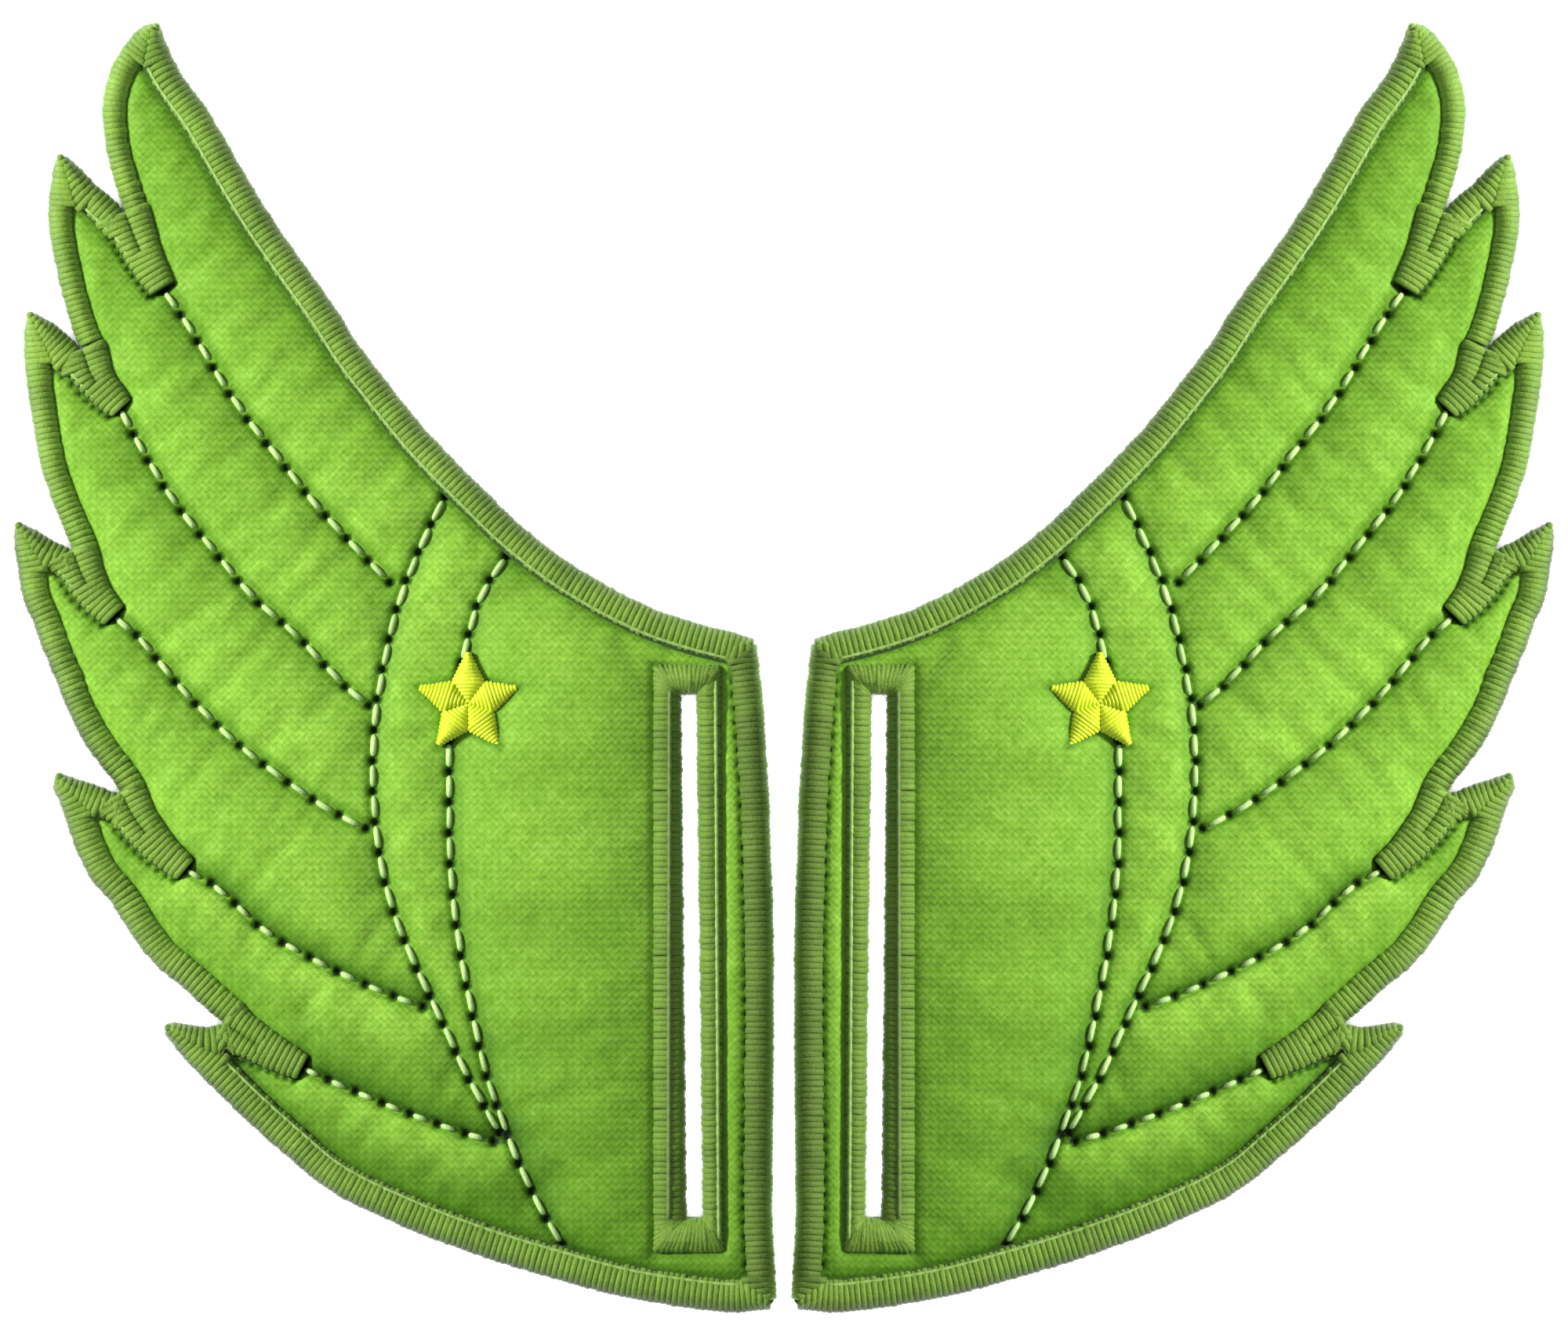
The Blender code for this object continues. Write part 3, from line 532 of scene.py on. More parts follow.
class Shape:
    """Points in pattern millimetres with quads, triangles and a tone for each point."""

    def __init__(self):
        self.points, self.faces, self.tone, self.across = [], [], [], []
        self.count = 0

    def add(self, points, faces, tone, across=None):
        points = np.asarray(points, float)
        self.points.append(points)
        self.faces += [tuple(int(i) + self.count for i in f) for f in faces]
        self.tone.append(np.broadcast_to(np.asarray(tone, float), (len(points),)))
        self.across.append(np.zeros(len(points)) if across is None else np.asarray(across, float))
        self.count += len(points)

    def strand(self, path, side, wide, high, tone, sides=6, caps=True):
        """A thread along a path of (u, y, z) points. side is the level direction across it."""
        path = np.asarray(path, float)
        n = len(path)
        wide = np.broadcast_to(np.asarray(wide, float), (n,))
        high = np.broadcast_to(np.asarray(high, float), (n,))
        way = np.gradient(path, axis=0)
        way /= np.linalg.norm(way, axis=1)[:, None] + 1e-12
        side = np.broadcast_to(np.append(side, 0.0) if np.ndim(side) == 1 and len(side) == 2 else side, (n, 3))
        normal = np.cross(way, side)
        angle = 2 * np.pi * np.arange(sides) / sides
        ring = path[:, None, :] + side[:, None, :] * (wide[:, None] * np.cos(angle))[:, :, None] + normal[:, None, :] * (high[:, None] * np.sin(angle))[:, :, None]
        points = ring.reshape(-1, 3)
        faces = []
        for k in range(n - 1):
            a, b = k * sides, (k + 1) * sides
            for s in range(sides):
                t = (s + 1) % sides
                faces.append((a + s, b + s, b + t, a + t))
        if caps:
            faces.append(tuple(range(sides)))
            faces.append(tuple((n - 1) * sides + s for s in range(sides))[::-1])
        run = np.repeat(np.linspace(0, 1, n), sides)
        self.add(points, faces, tone if np.ndim(tone) == 0 else np.repeat(tone, sides), run)


def to_world(points, side):
    points = np.asarray(points, float)
    return np.column_stack([points[:, 0] * side, points[:, 1] - MIDDLE_Y, points[:, 2]]) * MM


def make(name, shape, side, material, smooth=True):
    """One named mesh object in the row frame. side is -1 for the left wing and 1 for the right."""
    points = np.vstack(shape.points)
    mesh = bpy.data.meshes.new(name)
    faces = shape.faces if side > 0 else [f[::-1] for f in shape.faces]
    mesh.from_pydata(to_world(points, side).tolist(), [], faces)
    tone = mesh.attributes.new("tone", "FLOAT", "POINT")
    tone.data.foreach_set("value", np.concatenate(shape.tone).astype(np.float32))
    run = mesh.attributes.new("run", "FLOAT", "POINT")
    run.data.foreach_set("value", np.concatenate(shape.across).astype(np.float32))
    work = bmesh.new()
    work.from_mesh(mesh)
    bmesh.ops.recalc_face_normals(work, faces=work.faces)
    work.to_mesh(mesh)
    work.free()
    mesh.materials.append(material)
    if smooth:
        mesh.shade_smooth()
    obj = bpy.data.objects.new(name, mesh)
    bpy.context.scene.collection.objects.link(obj)
    return obj


# ----------------------------------------------------------------------------------------------------------------
# Materials
# ----------------------------------------------------------------------------------------------------------------


def srgb(r, g, b):
    return tuple((c / 255 / 12.92) if c / 255 <= 0.04045 else ((c / 255 + 0.055) / 1.055) ** 2.4 for c in (r, g, b))


class Nodes:
    def __init__(self, name):
        self.material = bpy.data.materials.new(name)
        self.material.use_nodes = True
        self.tree = self.material.node_tree
        self.shader = self.tree.nodes["Principled BSDF"]

    def node(self, kind, **settings):
        made = self.tree.nodes.new(kind)
        for key, value in settings.items():
            setattr(made, key, value)
        return made

    def link(self, a, b):
        self.tree.links.new(a, b)

    def math(self, operation, a, b=None, c=None, clamp=False):
        made = self.node("ShaderNodeMath", operation=operation, use_clamp=clamp)
        for slot, value in zip(made.inputs, (a, b, c)):
            if value is None:
                continue
            if isinstance(value, (int, float)):
                slot.default_value = value
            else:
                self.link(value, slot)
        return made.outputs[0]

    def attribute(self, name):
        return self.node("ShaderNodeAttribute", attribute_type="GEOMETRY", attribute_name=name).outputs["Fac"]

    def position(self, scale=1000.0):
        """Place on the object, in millimetres."""
        place = self.node("ShaderNodeTexCoord").outputs["Object"]
        scaled = self.node("ShaderNodeVectorMath", operation="SCALE")
        scaled.inputs["Scale"].default_value = scale
        self.link(place, scaled.inputs[0])
        return scaled.outputs[0]

    def noise(self, vector, scale, detail=3.0, roughness=0.5):
        made = self.node("ShaderNodeTexNoise")
        made.inputs["Scale"].default_value = scale
        made.inputs["Detail"].default_value = detail
        made.inputs["Roughness"].default_value = roughness
        self.link(vector, made.inputs["Vector"])
        return made.outputs["Fac"]

    def ramp(self, factor, stops):
        made = self.node("ShaderNodeValToRGB")
        ramp = made.color_ramp
        while len(ramp.elements) < len(stops):
            ramp.elements.new(0.5)
        for element, (place, colour) in zip(ramp.elements, stops):
            element.position = place
            element.color = (*colour, 1)
        self.link(factor, made.inputs[0])
        return made.outputs[0]

    def shade(self, colour, factor):
        """The colour times a factor."""
        made = self.node("ShaderNodeVectorMath", operation="SCALE")
        self.link(colour, made.inputs[0])
        self.link(factor, made.inputs["Scale"])
        return made.outputs[0]

    def deepen(self, colour, factor):
        """The colour times a factor, with red and blue falling faster than green."""
        parts = self.node("ShaderNodeCombineXYZ")
        for socket, power in zip(parts.inputs, (1.3, 1.0, 1.75)):
            self.link(self.math("POWER", factor, power), socket)
        made = self.node("ShaderNodeVectorMath", operation="MULTIPLY")
        self.link(colour, made.inputs[0])
        self.link(parts.outputs[0], made.inputs[1])
        return made.outputs[0]

    def bump(self, height, distance, strength=1.0, normal=None):
        made = self.node("ShaderNodeBump")
        made.inputs["Distance"].default_value = distance
        made.inputs["Strength"].default_value = strength
        self.link(height, made.inputs["Height"])
        if normal is not None:
            self.link(normal, made.inputs["Normal"])
        return made.outputs[0]


def weave(n, pitch, sharp=1.0):
    """Height of a plain weave laid at 45 degrees, from 0 to 1."""
    split = n.node("ShaderNodeSeparateXYZ")
    n.link(n.position(), split.inputs[0])
    x, y = split.outputs[0], split.outputs[1]
    k = math.pi / pitch / math.sqrt(2)
    a = n.math("MULTIPLY", n.math("ADD", x, y), k)
    b = n.math("MULTIPLY", n.math("SUBTRACT", x, y), k)
    sa, sb = n.math("SINE", a), n.math("SINE", b)
    over = n.math("GREATER_THAN", n.math("MULTIPLY", sa, sb), 0.0)
    wa, wb = n.math("ABSOLUTE", sa), n.math("ABSOLUTE", sb)
    mix = n.node("ShaderNodeMix", data_type="FLOAT")
    n.link(over, mix.inputs["Factor"])
    n.link(n.math("POWER", wa, 0.6 * sharp), mix.inputs[2])
    n.link(n.math("POWER", wb, 0.6 * sharp), mix.inputs[3])
    return mix.outputs[0]


def streaks(n, angle):
    """Short soft streaks of noise along one direction."""
    turned = n.node("ShaderNodeMapping", vector_type="TEXTURE")
    turned.inputs["Rotation"].default_value = (0, 0, math.radians(angle))
    turned.inputs["Scale"].default_value = (1.5, 0.36, 1.0)
    n.link(n.position(), turned.inputs["Vector"])
    return n.noise(turned.outputs[0], 1.0, 2.0, 0.6)


def cloth_material(name, dark, mid, light, pitch=0.42, weave_depth=0.10, rough=0.62, woven_share=0.08):
    n = Nodes(name)
    place = n.position()
    woven = weave(n, pitch)
    fine = n.noise(place, 2.2, 4.0, 0.7)
    streaked = n.math("MAXIMUM", streaks(n, 45), streaks(n, -45))
    mixed = n.math("ADD", n.math("MULTIPLY", streaked, 0.52), n.math("MULTIPLY", fine, 0.40))
    mixed = n.math("ADD", mixed, n.math("MULTIPLY", woven, woven_share))
    colour = n.ramp(mixed, [(0.36, dark), (0.56, mid), (0.76, light)])
    tone = n.attribute("tone")
    n.link(n.deepen(colour, tone), n.shader.inputs["Base Color"])
    n.shader.inputs["Roughness"].default_value = rough
    n.shader.inputs["Specular IOR Level"].default_value = 0.2
    n.shader.inputs["Sheen Weight"].default_value = 0.12
    n.shader.inputs["Sheen Roughness"].default_value = 0.5
    n.shader.inputs["Sheen Tint"].default_value = (*srgb(200, 235, 120), 1)
    height = n.math("ADD", n.math("MULTIPLY", woven, weave_depth), n.math("ADD", n.math("MULTIPLY", fine, 0.05), n.math("MULTIPLY", streaked, 0.06)))
    n.link(n.bump(height, 0.0006), n.shader.inputs["Normal"])
    return n.material


def thread_material(name, dark, light, rough=0.5, sheen=0.2, spec=0.35):
    n = Nodes(name)
    place = n.position()
    fine = n.noise(place, 3.5, 4.0, 0.7)
    broad = n.noise(place, 0.25, 2.0)
    mixed = n.math("ADD", n.math("MULTIPLY", fine, 0.6), n.math("MULTIPLY", broad, 0.4))
    colour = n.ramp(mixed, [(0.30, dark), (0.72, light)])
    tone = n.attribute("tone")
    n.link(n.shade(colour, tone), n.shader.inputs["Base Color"])
    n.shader.inputs["Roughness"].default_value = rough
    n.shader.inputs["Specular IOR Level"].default_value = spec
    n.shader.inputs["Sheen Weight"].default_value = sheen
    n.shader.inputs["Sheen Roughness"].default_value = 0.4
    n.link(n.bump(fine, 0.00012), n.shader.inputs["Normal"])
    return n.material


FACE = cloth_material("face_cloth_satin_twill", srgb(108, 166, 42), srgb(138, 193, 64), srgb(166, 217, 94), pitch=0.50, weave_depth=0.05)
BACK = cloth_material("backing_plain_weave", srgb(84, 138, 36), srgb(100, 156, 46), srgb(122, 176, 64), pitch=0.55, weave_depth=0.16, rough=0.8, woven_share=0.3)
BORDER = thread_material("border_thread_olive", srgb(96, 138, 40), srgb(134, 172, 66))
# the underlay is a real padding band, and its near-black green colour is painted shade: it shows in the gaps between
# satin stitches, in the groove at the border's inner edge and as the slot's inner wall
CORE = thread_material("border_underlay", srgb(44, 78, 10), srgb(58, 96, 18), rough=0.8)
# the edge-run cord is a real thread, and its pale colour is a painted highlight standing for the lit inner edge of the
# satin border
RIDGE = thread_material("edge_run_thread_pale", srgb(140, 184, 92), srgb(168, 208, 122))
RUNNING = thread_material("seam_thread_pale", srgb(176, 218, 134), srgb(212, 246, 172), rough=0.45)
STAR = thread_material("star_thread_yellow", srgb(214, 242, 18), srgb(240, 255, 60), rough=0.36, spec=0.5)
STAR_UNDER = thread_material("star_underlay", srgb(140, 170, 6), srgb(160, 190, 16), rough=0.7)

# ----------------------------------------------------------------------------------------------------------------
# Pieces of one wing
# ----------------------------------------------------------------------------------------------------------------


def sheet_grid(keep, height, tone):
    """A sheet over the grid cells whose four corners are kept."""
    index = -np.ones(G.shape, int)
    cells = keep[:-1, :-1] & keep[1:, :-1] & keep[:-1, 1:] & keep[1:, 1:]
    used = np.zeros(G.shape, bool)
    used[:-1, :-1] |= cells
    used[1:, :-1] |= cells
    used[:-1, 1:] |= cells
    used[1:, 1:] |= cells
    index[used] = np.arange(used.sum())
    i, j = np.nonzero(cells)
    faces = np.column_stack([index[i, j], index[i + 1, j], index[i + 1, j + 1], index[i, j + 1]])
    a, b = np.nonzero(used)
    points = np.column_stack([G.us[a], G.ys[b], height[used]])
    shape = Shape()
    shape.points.append(points)
    shape.faces = [tuple(f) for f in faces.tolist()]
    shape.tone.append(tone[used])
    shape.across.append(np.zeros(len(points)))
    shape.count = len(points)
    return shape


def face_shape():
    keep = (FREE > -1.1) & (DEPTH > 0.8) & (SLOT_IN2 > 0.8)
    # painted shade: dark lines along both sides of each stitching channel, dark needle holes, dark slits across the
    # tail ends, and small dark holes beside the tails and along the inner edge of the middle border
    tone = 1 - 0.38 * np.exp(-(((SEAM - 0.46) / 0.19) ** 2)) * (FREE > -0.2)
    tone *= 1 - 0.95 * np.clip((0.56 - HOLE) / 0.20, 0, 1)
    tone *= 1 - 0.90 * np.clip((0.36 - SLIT) / 0.2, 0, 1)
    tone *= 1 - 0.75 * np.clip((0.36 - SMALL) / 0.2, 0, 1)
    # painted shade in the groove where the cloth meets the border's stitches
    tone *= 1 - 0.34 * np.exp(-np.power(np.clip(FREE, 0, None) / 0.30, 2))
    # painted shade: the cloth is darker where it dips under the long upper and lower borders, and a little beside the
    # feathers' short upper borders
    for k, amount, reach in ((0, 0.12, 2.4), (11, 0.40, 3.2), (2, 0.10, 2.0), (4, 0.08, 2.0), (6, 0.08, 2.0), (8, 0.08, 2.0)):
        tone *= 1 - amount * np.exp(-np.clip(grid2(BESIDE[k]), 0, None) / reach)
    # painted shadow of the raised star on the cloth round it
    tone *= 1 - 0.48 * np.exp(-np.power(np.clip(STAR_OUT, 0, None) / 0.42, 2)) * (STAR_OUT > -0.6)
    # painted shade in the troughs of the puckers
    tone *= 1 + 0.5 * RIPPLE
    # painted shade and painted light: the upper feathers are darker along their upper sides, below the seam that parts
    # each from the next, and the two lowest along their lower sides, above the seam, with painted light just below
    # seams 4 and 5 and a thin painted dark line beside each seam
    for name, line in SEAM_LINES.items():
        d, _, side = nearest(flat, line)
        way = line[-1] - line[0]
        above = side * (1.0 if way[0] < 0 else -1.0) < 0
        shade = lambda middle, reach: np.exp(-(((d - middle) / reach) ** 2))
        if name in ("feather_seam_1", "feather_seam_2", "feather_seam_3"):
            change = np.where(above, 1 - 0.30 * shade(0.85, 0.34) - 0.02 * shade(2.5, 1.5), 1 - 0.17 * shade(0, 3.2))
        elif name == "feather_seam_4":
            change = np.where(above, 1 - 0.58 * shade(0, 2.1), 1 + 0.10 * shade(1.2, 2.2) - 0.20 * shade(6, 2.5))
        elif name == "feather_seam_5":
            change = np.where(above, 1 - 0.64 * shade(0, 2.6), 1 + 0.16 * shade(1.2, 1.7) - 0.26 * shade(5.5, 2.2))
        elif name == "outer_spine_seam":
            change = np.where(above, 1 - 0.26 * shade(0.85, 0.40), 1 + 0.0 * d)
        else:
            change = np.where(above, 1 - 0.20 * shade(0.85, 0.40) - 0.22 * shade(0, 4.0), 1 + 0.0 * d)
        tone *= grid2(change)
    # painted shade: the upper feathers darker towards their outer tips
    outwards = np.hypot(flat[:, 0] - 22, flat[:, 1] - 58)
    high = np.clip((flat[:, 1] - 40) / 12, 0, 1)
    tone *= 1 - grid2(high * (0.07 * np.clip((outwards - 30) / 8, 0, 1) + 0.16 * np.clip((outwards - 42) / 22, 0, 1)))
    # broad swells that catch more light
    for u, y, reach, more in ((31, 66, 7, 0.12), (35, 49, 6, 0.05), (44, 57, 6, 0.07)):
        tone *= 1 + more * grid2(np.exp(-((flat[:, 0] - u) ** 2 + (flat[:, 1] - y) ** 2) / reach**2))
    # painted shade: the lower, inner part of the wing darker towards the bottom
    tone *= 1 - 0.20 * grid2(np.clip((40 - flat[:, 1]) / 24, 0, 1) * np.clip((36 - flat[:, 0]) / 8, 0, 1))
    tone *= 1 + grid2(0.05 * value_noise(flat, 1.1, 21) + 0.04 * value_noise(flat, 0.55, 22) + 0.045 * value_noise(flat, 4.6, 23))
    return sheet_grid(keep, HEIGHT, tone)


rng = random.Random(11)


def border_runs():
    """The outline's runs from corner to corner, as fine lines."""
    return [smooth_curve(run, 0.3) for run in OUTLINE]


def border_marches(pitch):
    """Stitches square to the outline: (p on the outline, q where it ends, whether it ends at another side's, side)."""
    runs = border_runs()
    starts, ways, owners = [], [], []
    for k, run in enumerate(runs):
        length = np.linalg.norm(np.diff(run, axis=0), axis=1).sum()
        if length < 1.5:
            continue
        line = spaced(run, length / max(round(length / pitch), 1))
        middle = (line[1:] + line[:-1]) / 2
        way = np.gradient(spaced(run, 0.3), axis=0)
        fine = spaced(run, 0.3)
        for m in middle:
            i = int(np.argmin(np.hypot(*(fine - m).T)))
            lo, hi = max(i - 3, 0), min(i + 3, len(fine) - 1)
            along = fine[hi] - fine[lo]
            along = along / np.hypot(*along)
            inward = np.array([-along[1], along[0]])
            if not inside((m + inward * 0.15)[None], OUTER)[0]:
                inward = -inward
            starts.append(m)
            ways.append(inward)
            owners.append(k)
    starts, ways, owners = np.array(starts), np.array(ways), np.array(owners)
    steps = np.arange(0.2, 3.7, 0.1)
    cloud = (starts[:, None, :] + ways[:, None, :] * steps[None, :, None]).reshape(-1, 2)
    free = free_at(cloud).reshape(len(starts), -1)
    apart = np.array([nearest(cloud, run)[0] for run in runs]).reshape(len(runs), len(starts), -1)
    slot = beyond(cloud, SLOT_BINDING).reshape(len(starts), -1)
    found = []
    for i, k in enumerate(owners):
        own = apart[k, i]
        other = np.min(np.delete(apart[:, i], k, axis=0), axis=0)
        length, mitred = steps[-1], False
        for s, f, a, b, c in zip(steps, free[i], own, other, slot[i]):
            if f > 0 or c < 0.1:
                length = s
                break
            if a > b + 0.02 and b < 3.0:
                length, mitred = s, True
                break
        if length >= 0.3:
            found.append((starts[i], starts[i] + ways[i] * length, mitred, k))
    return found


def tone_along(at, seed, spread=0.10):
    """Slow changes of a thread's brightness along a border, with a little for each stitch."""
    return 1.0 + spread * float(value_noise(np.array([[at, 0.0]]), 3.0, seed)[0]) + 0.7 * spread * float(value_noise(np.array([[at, 9.0]]), 0.9, seed)[0]) + rng.uniform(-0.07, 0.07)


def border_stitch(shape, p, q, mitred=False, width=0.34, tone=1.0, gap=0.42, crown=2.46, edge=1.0, inner=1.0):
    """One satin stitch: up from the needle point, over the border, round the cut edge at p and back underneath."""
    reach = q - p
    size = float(np.hypot(*reach))
    if size < 0.28:
        return
    way = reach / size
    side = np.array([-way[1], way[0]])
    out = rng.uniform(-0.07, 0.05)
    full = 3.1
    if mitred:
        size += 0.10
        rise = min(1.0, size / 1.2)
        top = 1.7 + (crown - 1.7) * rise ** 0.7
        profile = [(size, top - 0.22), (size * 0.80, top - 0.05), (size * 0.45, top)]
    else:
        size += rng.uniform(-0.05, 0.05) - gap
        size = max(size, 0.5)
        top = crown + rng.uniform(-0.03, 0.03)
        profile = [(size + 0.05, 1.35), (size - 0.03, 1.78), (size - 0.26, 2.10), (size * 0.66, top - 0.06), (size * 0.42, top)]
    near = min(0.55, size * 0.3)
    profile += [(near, 2.14 if size > 0.8 else 1.95), (min(0.16, size * 0.15) + out, 1.68), (out, 1.08), (out + 0.12, 0.52), (min(0.5, size * 0.5), 0.20), (min(1.9, size * 0.8), 0.16), (min(2.1, size * 0.9), 0.36)]
    path = [(*(p + way * d), z) for d, z in profile]
    # painted shade on the outer turn of the thread where edge is below one and painted light where it is above one,
    # with painted light on the inner end where inner is above one
    shades = np.array([tone * (1 - (1 - edge) * math.exp(-((max(d, 0) / 0.55) ** 2))) * (1 + (inner - 1) * math.exp(-(((size - d) / 0.6) ** 2))) for d, _ in profile])
    shape.strand(path, side, width * rng.uniform(0.94, 1.05), 0.17, shades)


def free_reach(p, way, most=3.8):
    """How far from p the free cloth begins."""
    steps = np.arange(0.1, most, 0.1)
    free = free_at(p + way * steps[:, None]) > 0
    return float(steps[np.argmax(free)]) if free.any() else most


def binding_shapes():
    """The stitches of the outline border with its tails, and those of the slot binding."""
    border, slot = Shape(), Shape()
    # painted shade and light on the border thread: edges darkens the outer turn of each side's stitches and lightens it
    # on the middle border (13); body darkens a few whole sides, the middle border most; inner lightens the inner ends
    # on the feathers' outer sides
    edges = {1: 0.88, 3: 0.76, 5: 0.76, 7: 0.36, 9: 0.44, 13: 2.6, 11: 0.28, 12: 0.35, 2: 0.72, 4: 0.78, 6: 0.78, 8: 0.78, 10: 0.8, 0: 0.92}
    body = {13: 0.62, 14: 0.80, 1: 0.97}
    for k, (p, q, mitred, n) in enumerate(border_marches(SATIN_PITCH)):
        border_stitch(border, p, q, mitred, tone=tone_along(k * SATIN_PITCH, 31) * body.get(n, 1.0), gap=0.34 if n == 11 else 0.42 if n in RIDGED else 0.10, edge=edges.get(n, 1.0), inner=1.45 if n in (1, 3, 5, 7, 9) else 1.0)
    # tails: two rows meeting at a crease near the notch, one row across the rest
    for n, line in enumerate(TAIL_LINES):
        length = np.linalg.norm(np.diff(line, axis=0), axis=1).sum()
        fine = spaced(line, 0.05)
        along = np.linspace(0, length, len(fine))
        s = 0.12
        while s < length:
            i = int(np.argmin(abs(along - s)))
            p = fine[i]
            lo, hi = max(i - 6, 0), min(i + 6, len(fine) - 1)
            way = fine[hi] - fine[lo]
            way /= np.hypot(*way)
            side = np.array([-way[1], way[0]])
            left, right = free_reach(p, side) - 0.30, free_reach(p, -side) - 0.17
            tone = tone_along(s + 40 * n, 32)
            top = 2.44 + rng.uniform(-0.03, 0.03)
            if s < 0.48 * length:
                for reach, direction, shade in ((left, side, tone), (right, -side, tone * rng.uniform(0.92, 1.06))):
                    path = [(*(p + direction * d), z) for d, z in ((-0.05, 1.75), (0.12, 2.08), (0.36, 2.32), (reach * 0.5, top), (reach * 0.8, 2.26), (reach - 0.05, 1.95), (reach + 0.08, 1.45))]
                    border.strand(path, way, 0.34, 0.17, shade)
            else:
                path = [(*(p + side * d), z) for d, z in ((left + 0.06, 1.45), (left - 0.05, 1.95), (left * 0.78, 2.28), (left * 0.3, top), (-right * 0.3, top), (-right * 0.78, 2.28), (-right + 0.05, 1.95), (-right - 0.06, 1.45))]
                border.strand(path, way, 0.34, 0.17, tone)
            path = [(*(p + side * d), z) for d, z in ((-right * 0.9, 0.5), (-right * 0.75, 0.2), (0, 0.14), (left * 0.75, 0.2), (left * 0.9, 0.5))]
            border.strand(path, way, 0.32, 0.12, tone)
            s += SATIN_PITCH
        # fan round the notch, between the last stitches of the two sides and the tail's first
        p = line[0]
        way = line[4] - line[0]
        way /= np.hypot(*way)
        for run, turn in ((smooth_curve(OUTLINE[2 * n + 1], 0.3)[::-1], -1.0), (smooth_curve(OUTLINE[2 * n + 2], 0.3), 1.0)):
            along = run[3] - run[0]
            along /= np.hypot(*along)
            last = np.array([-along[1], along[0]])
            if last @ way < 0 and not inside((p + along * 0.8 + last * 0.3)[None], OUTER)[0]:
                last = -last
            elif not inside((p + along * 0.8 + last * 0.3)[None], OUTER)[0]:
                last = -last
            square = np.array([-way[1], way[0]]) * turn
            if square @ last < 0:
                square = -square
            a, b = math.atan2(last[1], last[0]), math.atan2(square[1], square[0])
            swing = (b - a + math.pi) % (2 * math.pi) - math.pi
            count = max(1, round(abs(swing) / math.radians(8)))
            for k in range(-1, count + 2):
                angle = a + swing * (k + 0.5) / (count + 1)
                out = np.array([math.cos(angle), math.sin(angle)])
                reach = free_reach(p, out) - (0.16 if turn < 0 else 0.28)
                if not 0.8 < reach < 3.4:
                    continue
                path = [(*(p + out * r), z) for r, z in ((-0.05, 1.4), (0.12, 1.9), (0.4, 2.25), (reach * 0.5, 2.42), (reach * 0.82, 2.26), (reach - 0.05, 1.9), (reach + 0.06, 1.4))]
                border.strand(path, np.array([-out[1], out[0]]), 0.34, 0.17, tone_along(k + 7 * n, 33))
    # slot binding: square to its long sides, fanned a little at its ends
    hole, outer = np.array(SLOT, float), np.array(SLOT_BINDING, float)
    inner_u = lambda y, a, b: np.interp(y, (hole[a][1], hole[b][1]), (hole[a][0], hole[b][0]))
    y = hole[0][1] + 0.1
    k = 0
    while y < hole[2][1]:
        lean = rng.uniform(-0.10, 0.10)
        low_u, high_u = inner_u(y, 0, 3), inner_u(y, 1, 2)
        far = np.interp(y, (5.6, 61.0), (outer[0][0], outer[3][0]))
        border_stitch(slot, np.array([low_u, y]), np.array([far, y + lean]), tone=tone_along(k * 0.6, 41) * 0.86, gap=0.12, crown=2.34)
        border_stitch(slot, np.array([high_u, y]), np.array([12.35, y - lean]), tone=tone_along(k * 0.6, 42) * 0.86, gap=0.06, crown=2.34)
        y += SATIN_PITCH
        k += 1
    for low, high, end, bottom in ((hole[0], hole[1], outer[0][1] + 0.1, True), (hole[3], hole[2], 61.35, False)):
        at = low[1]
        near_u = outer[0][0] + 0.15 if bottom else outer[3][0] + 0.1
        walk = spaced(np.array([(near_u, at), (near_u, end), (12.3, end), (12.3, at)]), 0.5)
        span = np.linspace(0, 1, len(walk))
        for k, (q, t) in enumerate(zip(walk, span)):
            p = np.array([low[0] + (high[0] - low[0]) * np.clip((t - 0.33) / 0.34, 0, 1), at])
            # the end bars rise in the middle, and their thread is painted lighter there as a painted highlight on the
            # bulge
            middle = math.exp(-(((t - 0.5) / 0.26) ** 2))
            border_stitch(slot, p, q, tone=tone_along(k * 0.6 + 90 * bottom, 43) * (0.88 + 0.2 * middle), gap=0.05, crown=2.34 + 0.30 * middle, width=0.33)
    return border, slot


def slab_shape(loops, low, high, inner=(), tone=1.0):
    """A closed sheet over a region with holes, between a level bottom and a top height given by a function."""
    shape = Shape()
    flat_points, edges = [], []
    for loop in loops:
        start = len(flat_points)
        flat_points += [tuple(p) for p in loop.tolist()]
        edges += [(start + k, start + (k + 1) % len(loop)) for k in range(len(loop))]
    rim = len(flat_points)
    flat_points += [tuple(p) for p in inner]
    made, _, triangles, origin, _, _ = delaunay_2d_cdt([Vector(p) for p in flat_points], edges, [], 0, 1e-5)
    middle = np.array([np.mean([made[i] for i in t], axis=0) for t in triangles])
    keep = np.zeros(len(triangles), bool)
    for loop in loops:
        keep ^= inside(middle, loop)
    flat_array = np.array(flat_points)
    top = np.column_stack([flat_array, high(flat_array)])
    bottom = np.column_stack([flat_array, np.full(len(flat_array), low)])
    n = len(flat_array)
    faces = []
    for t, ok in zip(triangles, keep):
        if ok:
            f = tuple(origin[i][0] for i in t)
            faces.append(f)
            faces.append(tuple(i + n for i in f[::-1]))
    start = 0
    for loop in loops:
        for k in range(len(loop)):
            a, b = start + k, start + (k + 1) % len(loop)
            faces.append((a + n, b + n, b, a))
        start += len(loop)
    shape.add(np.vstack([top, bottom]), faces, tone)
    return shape


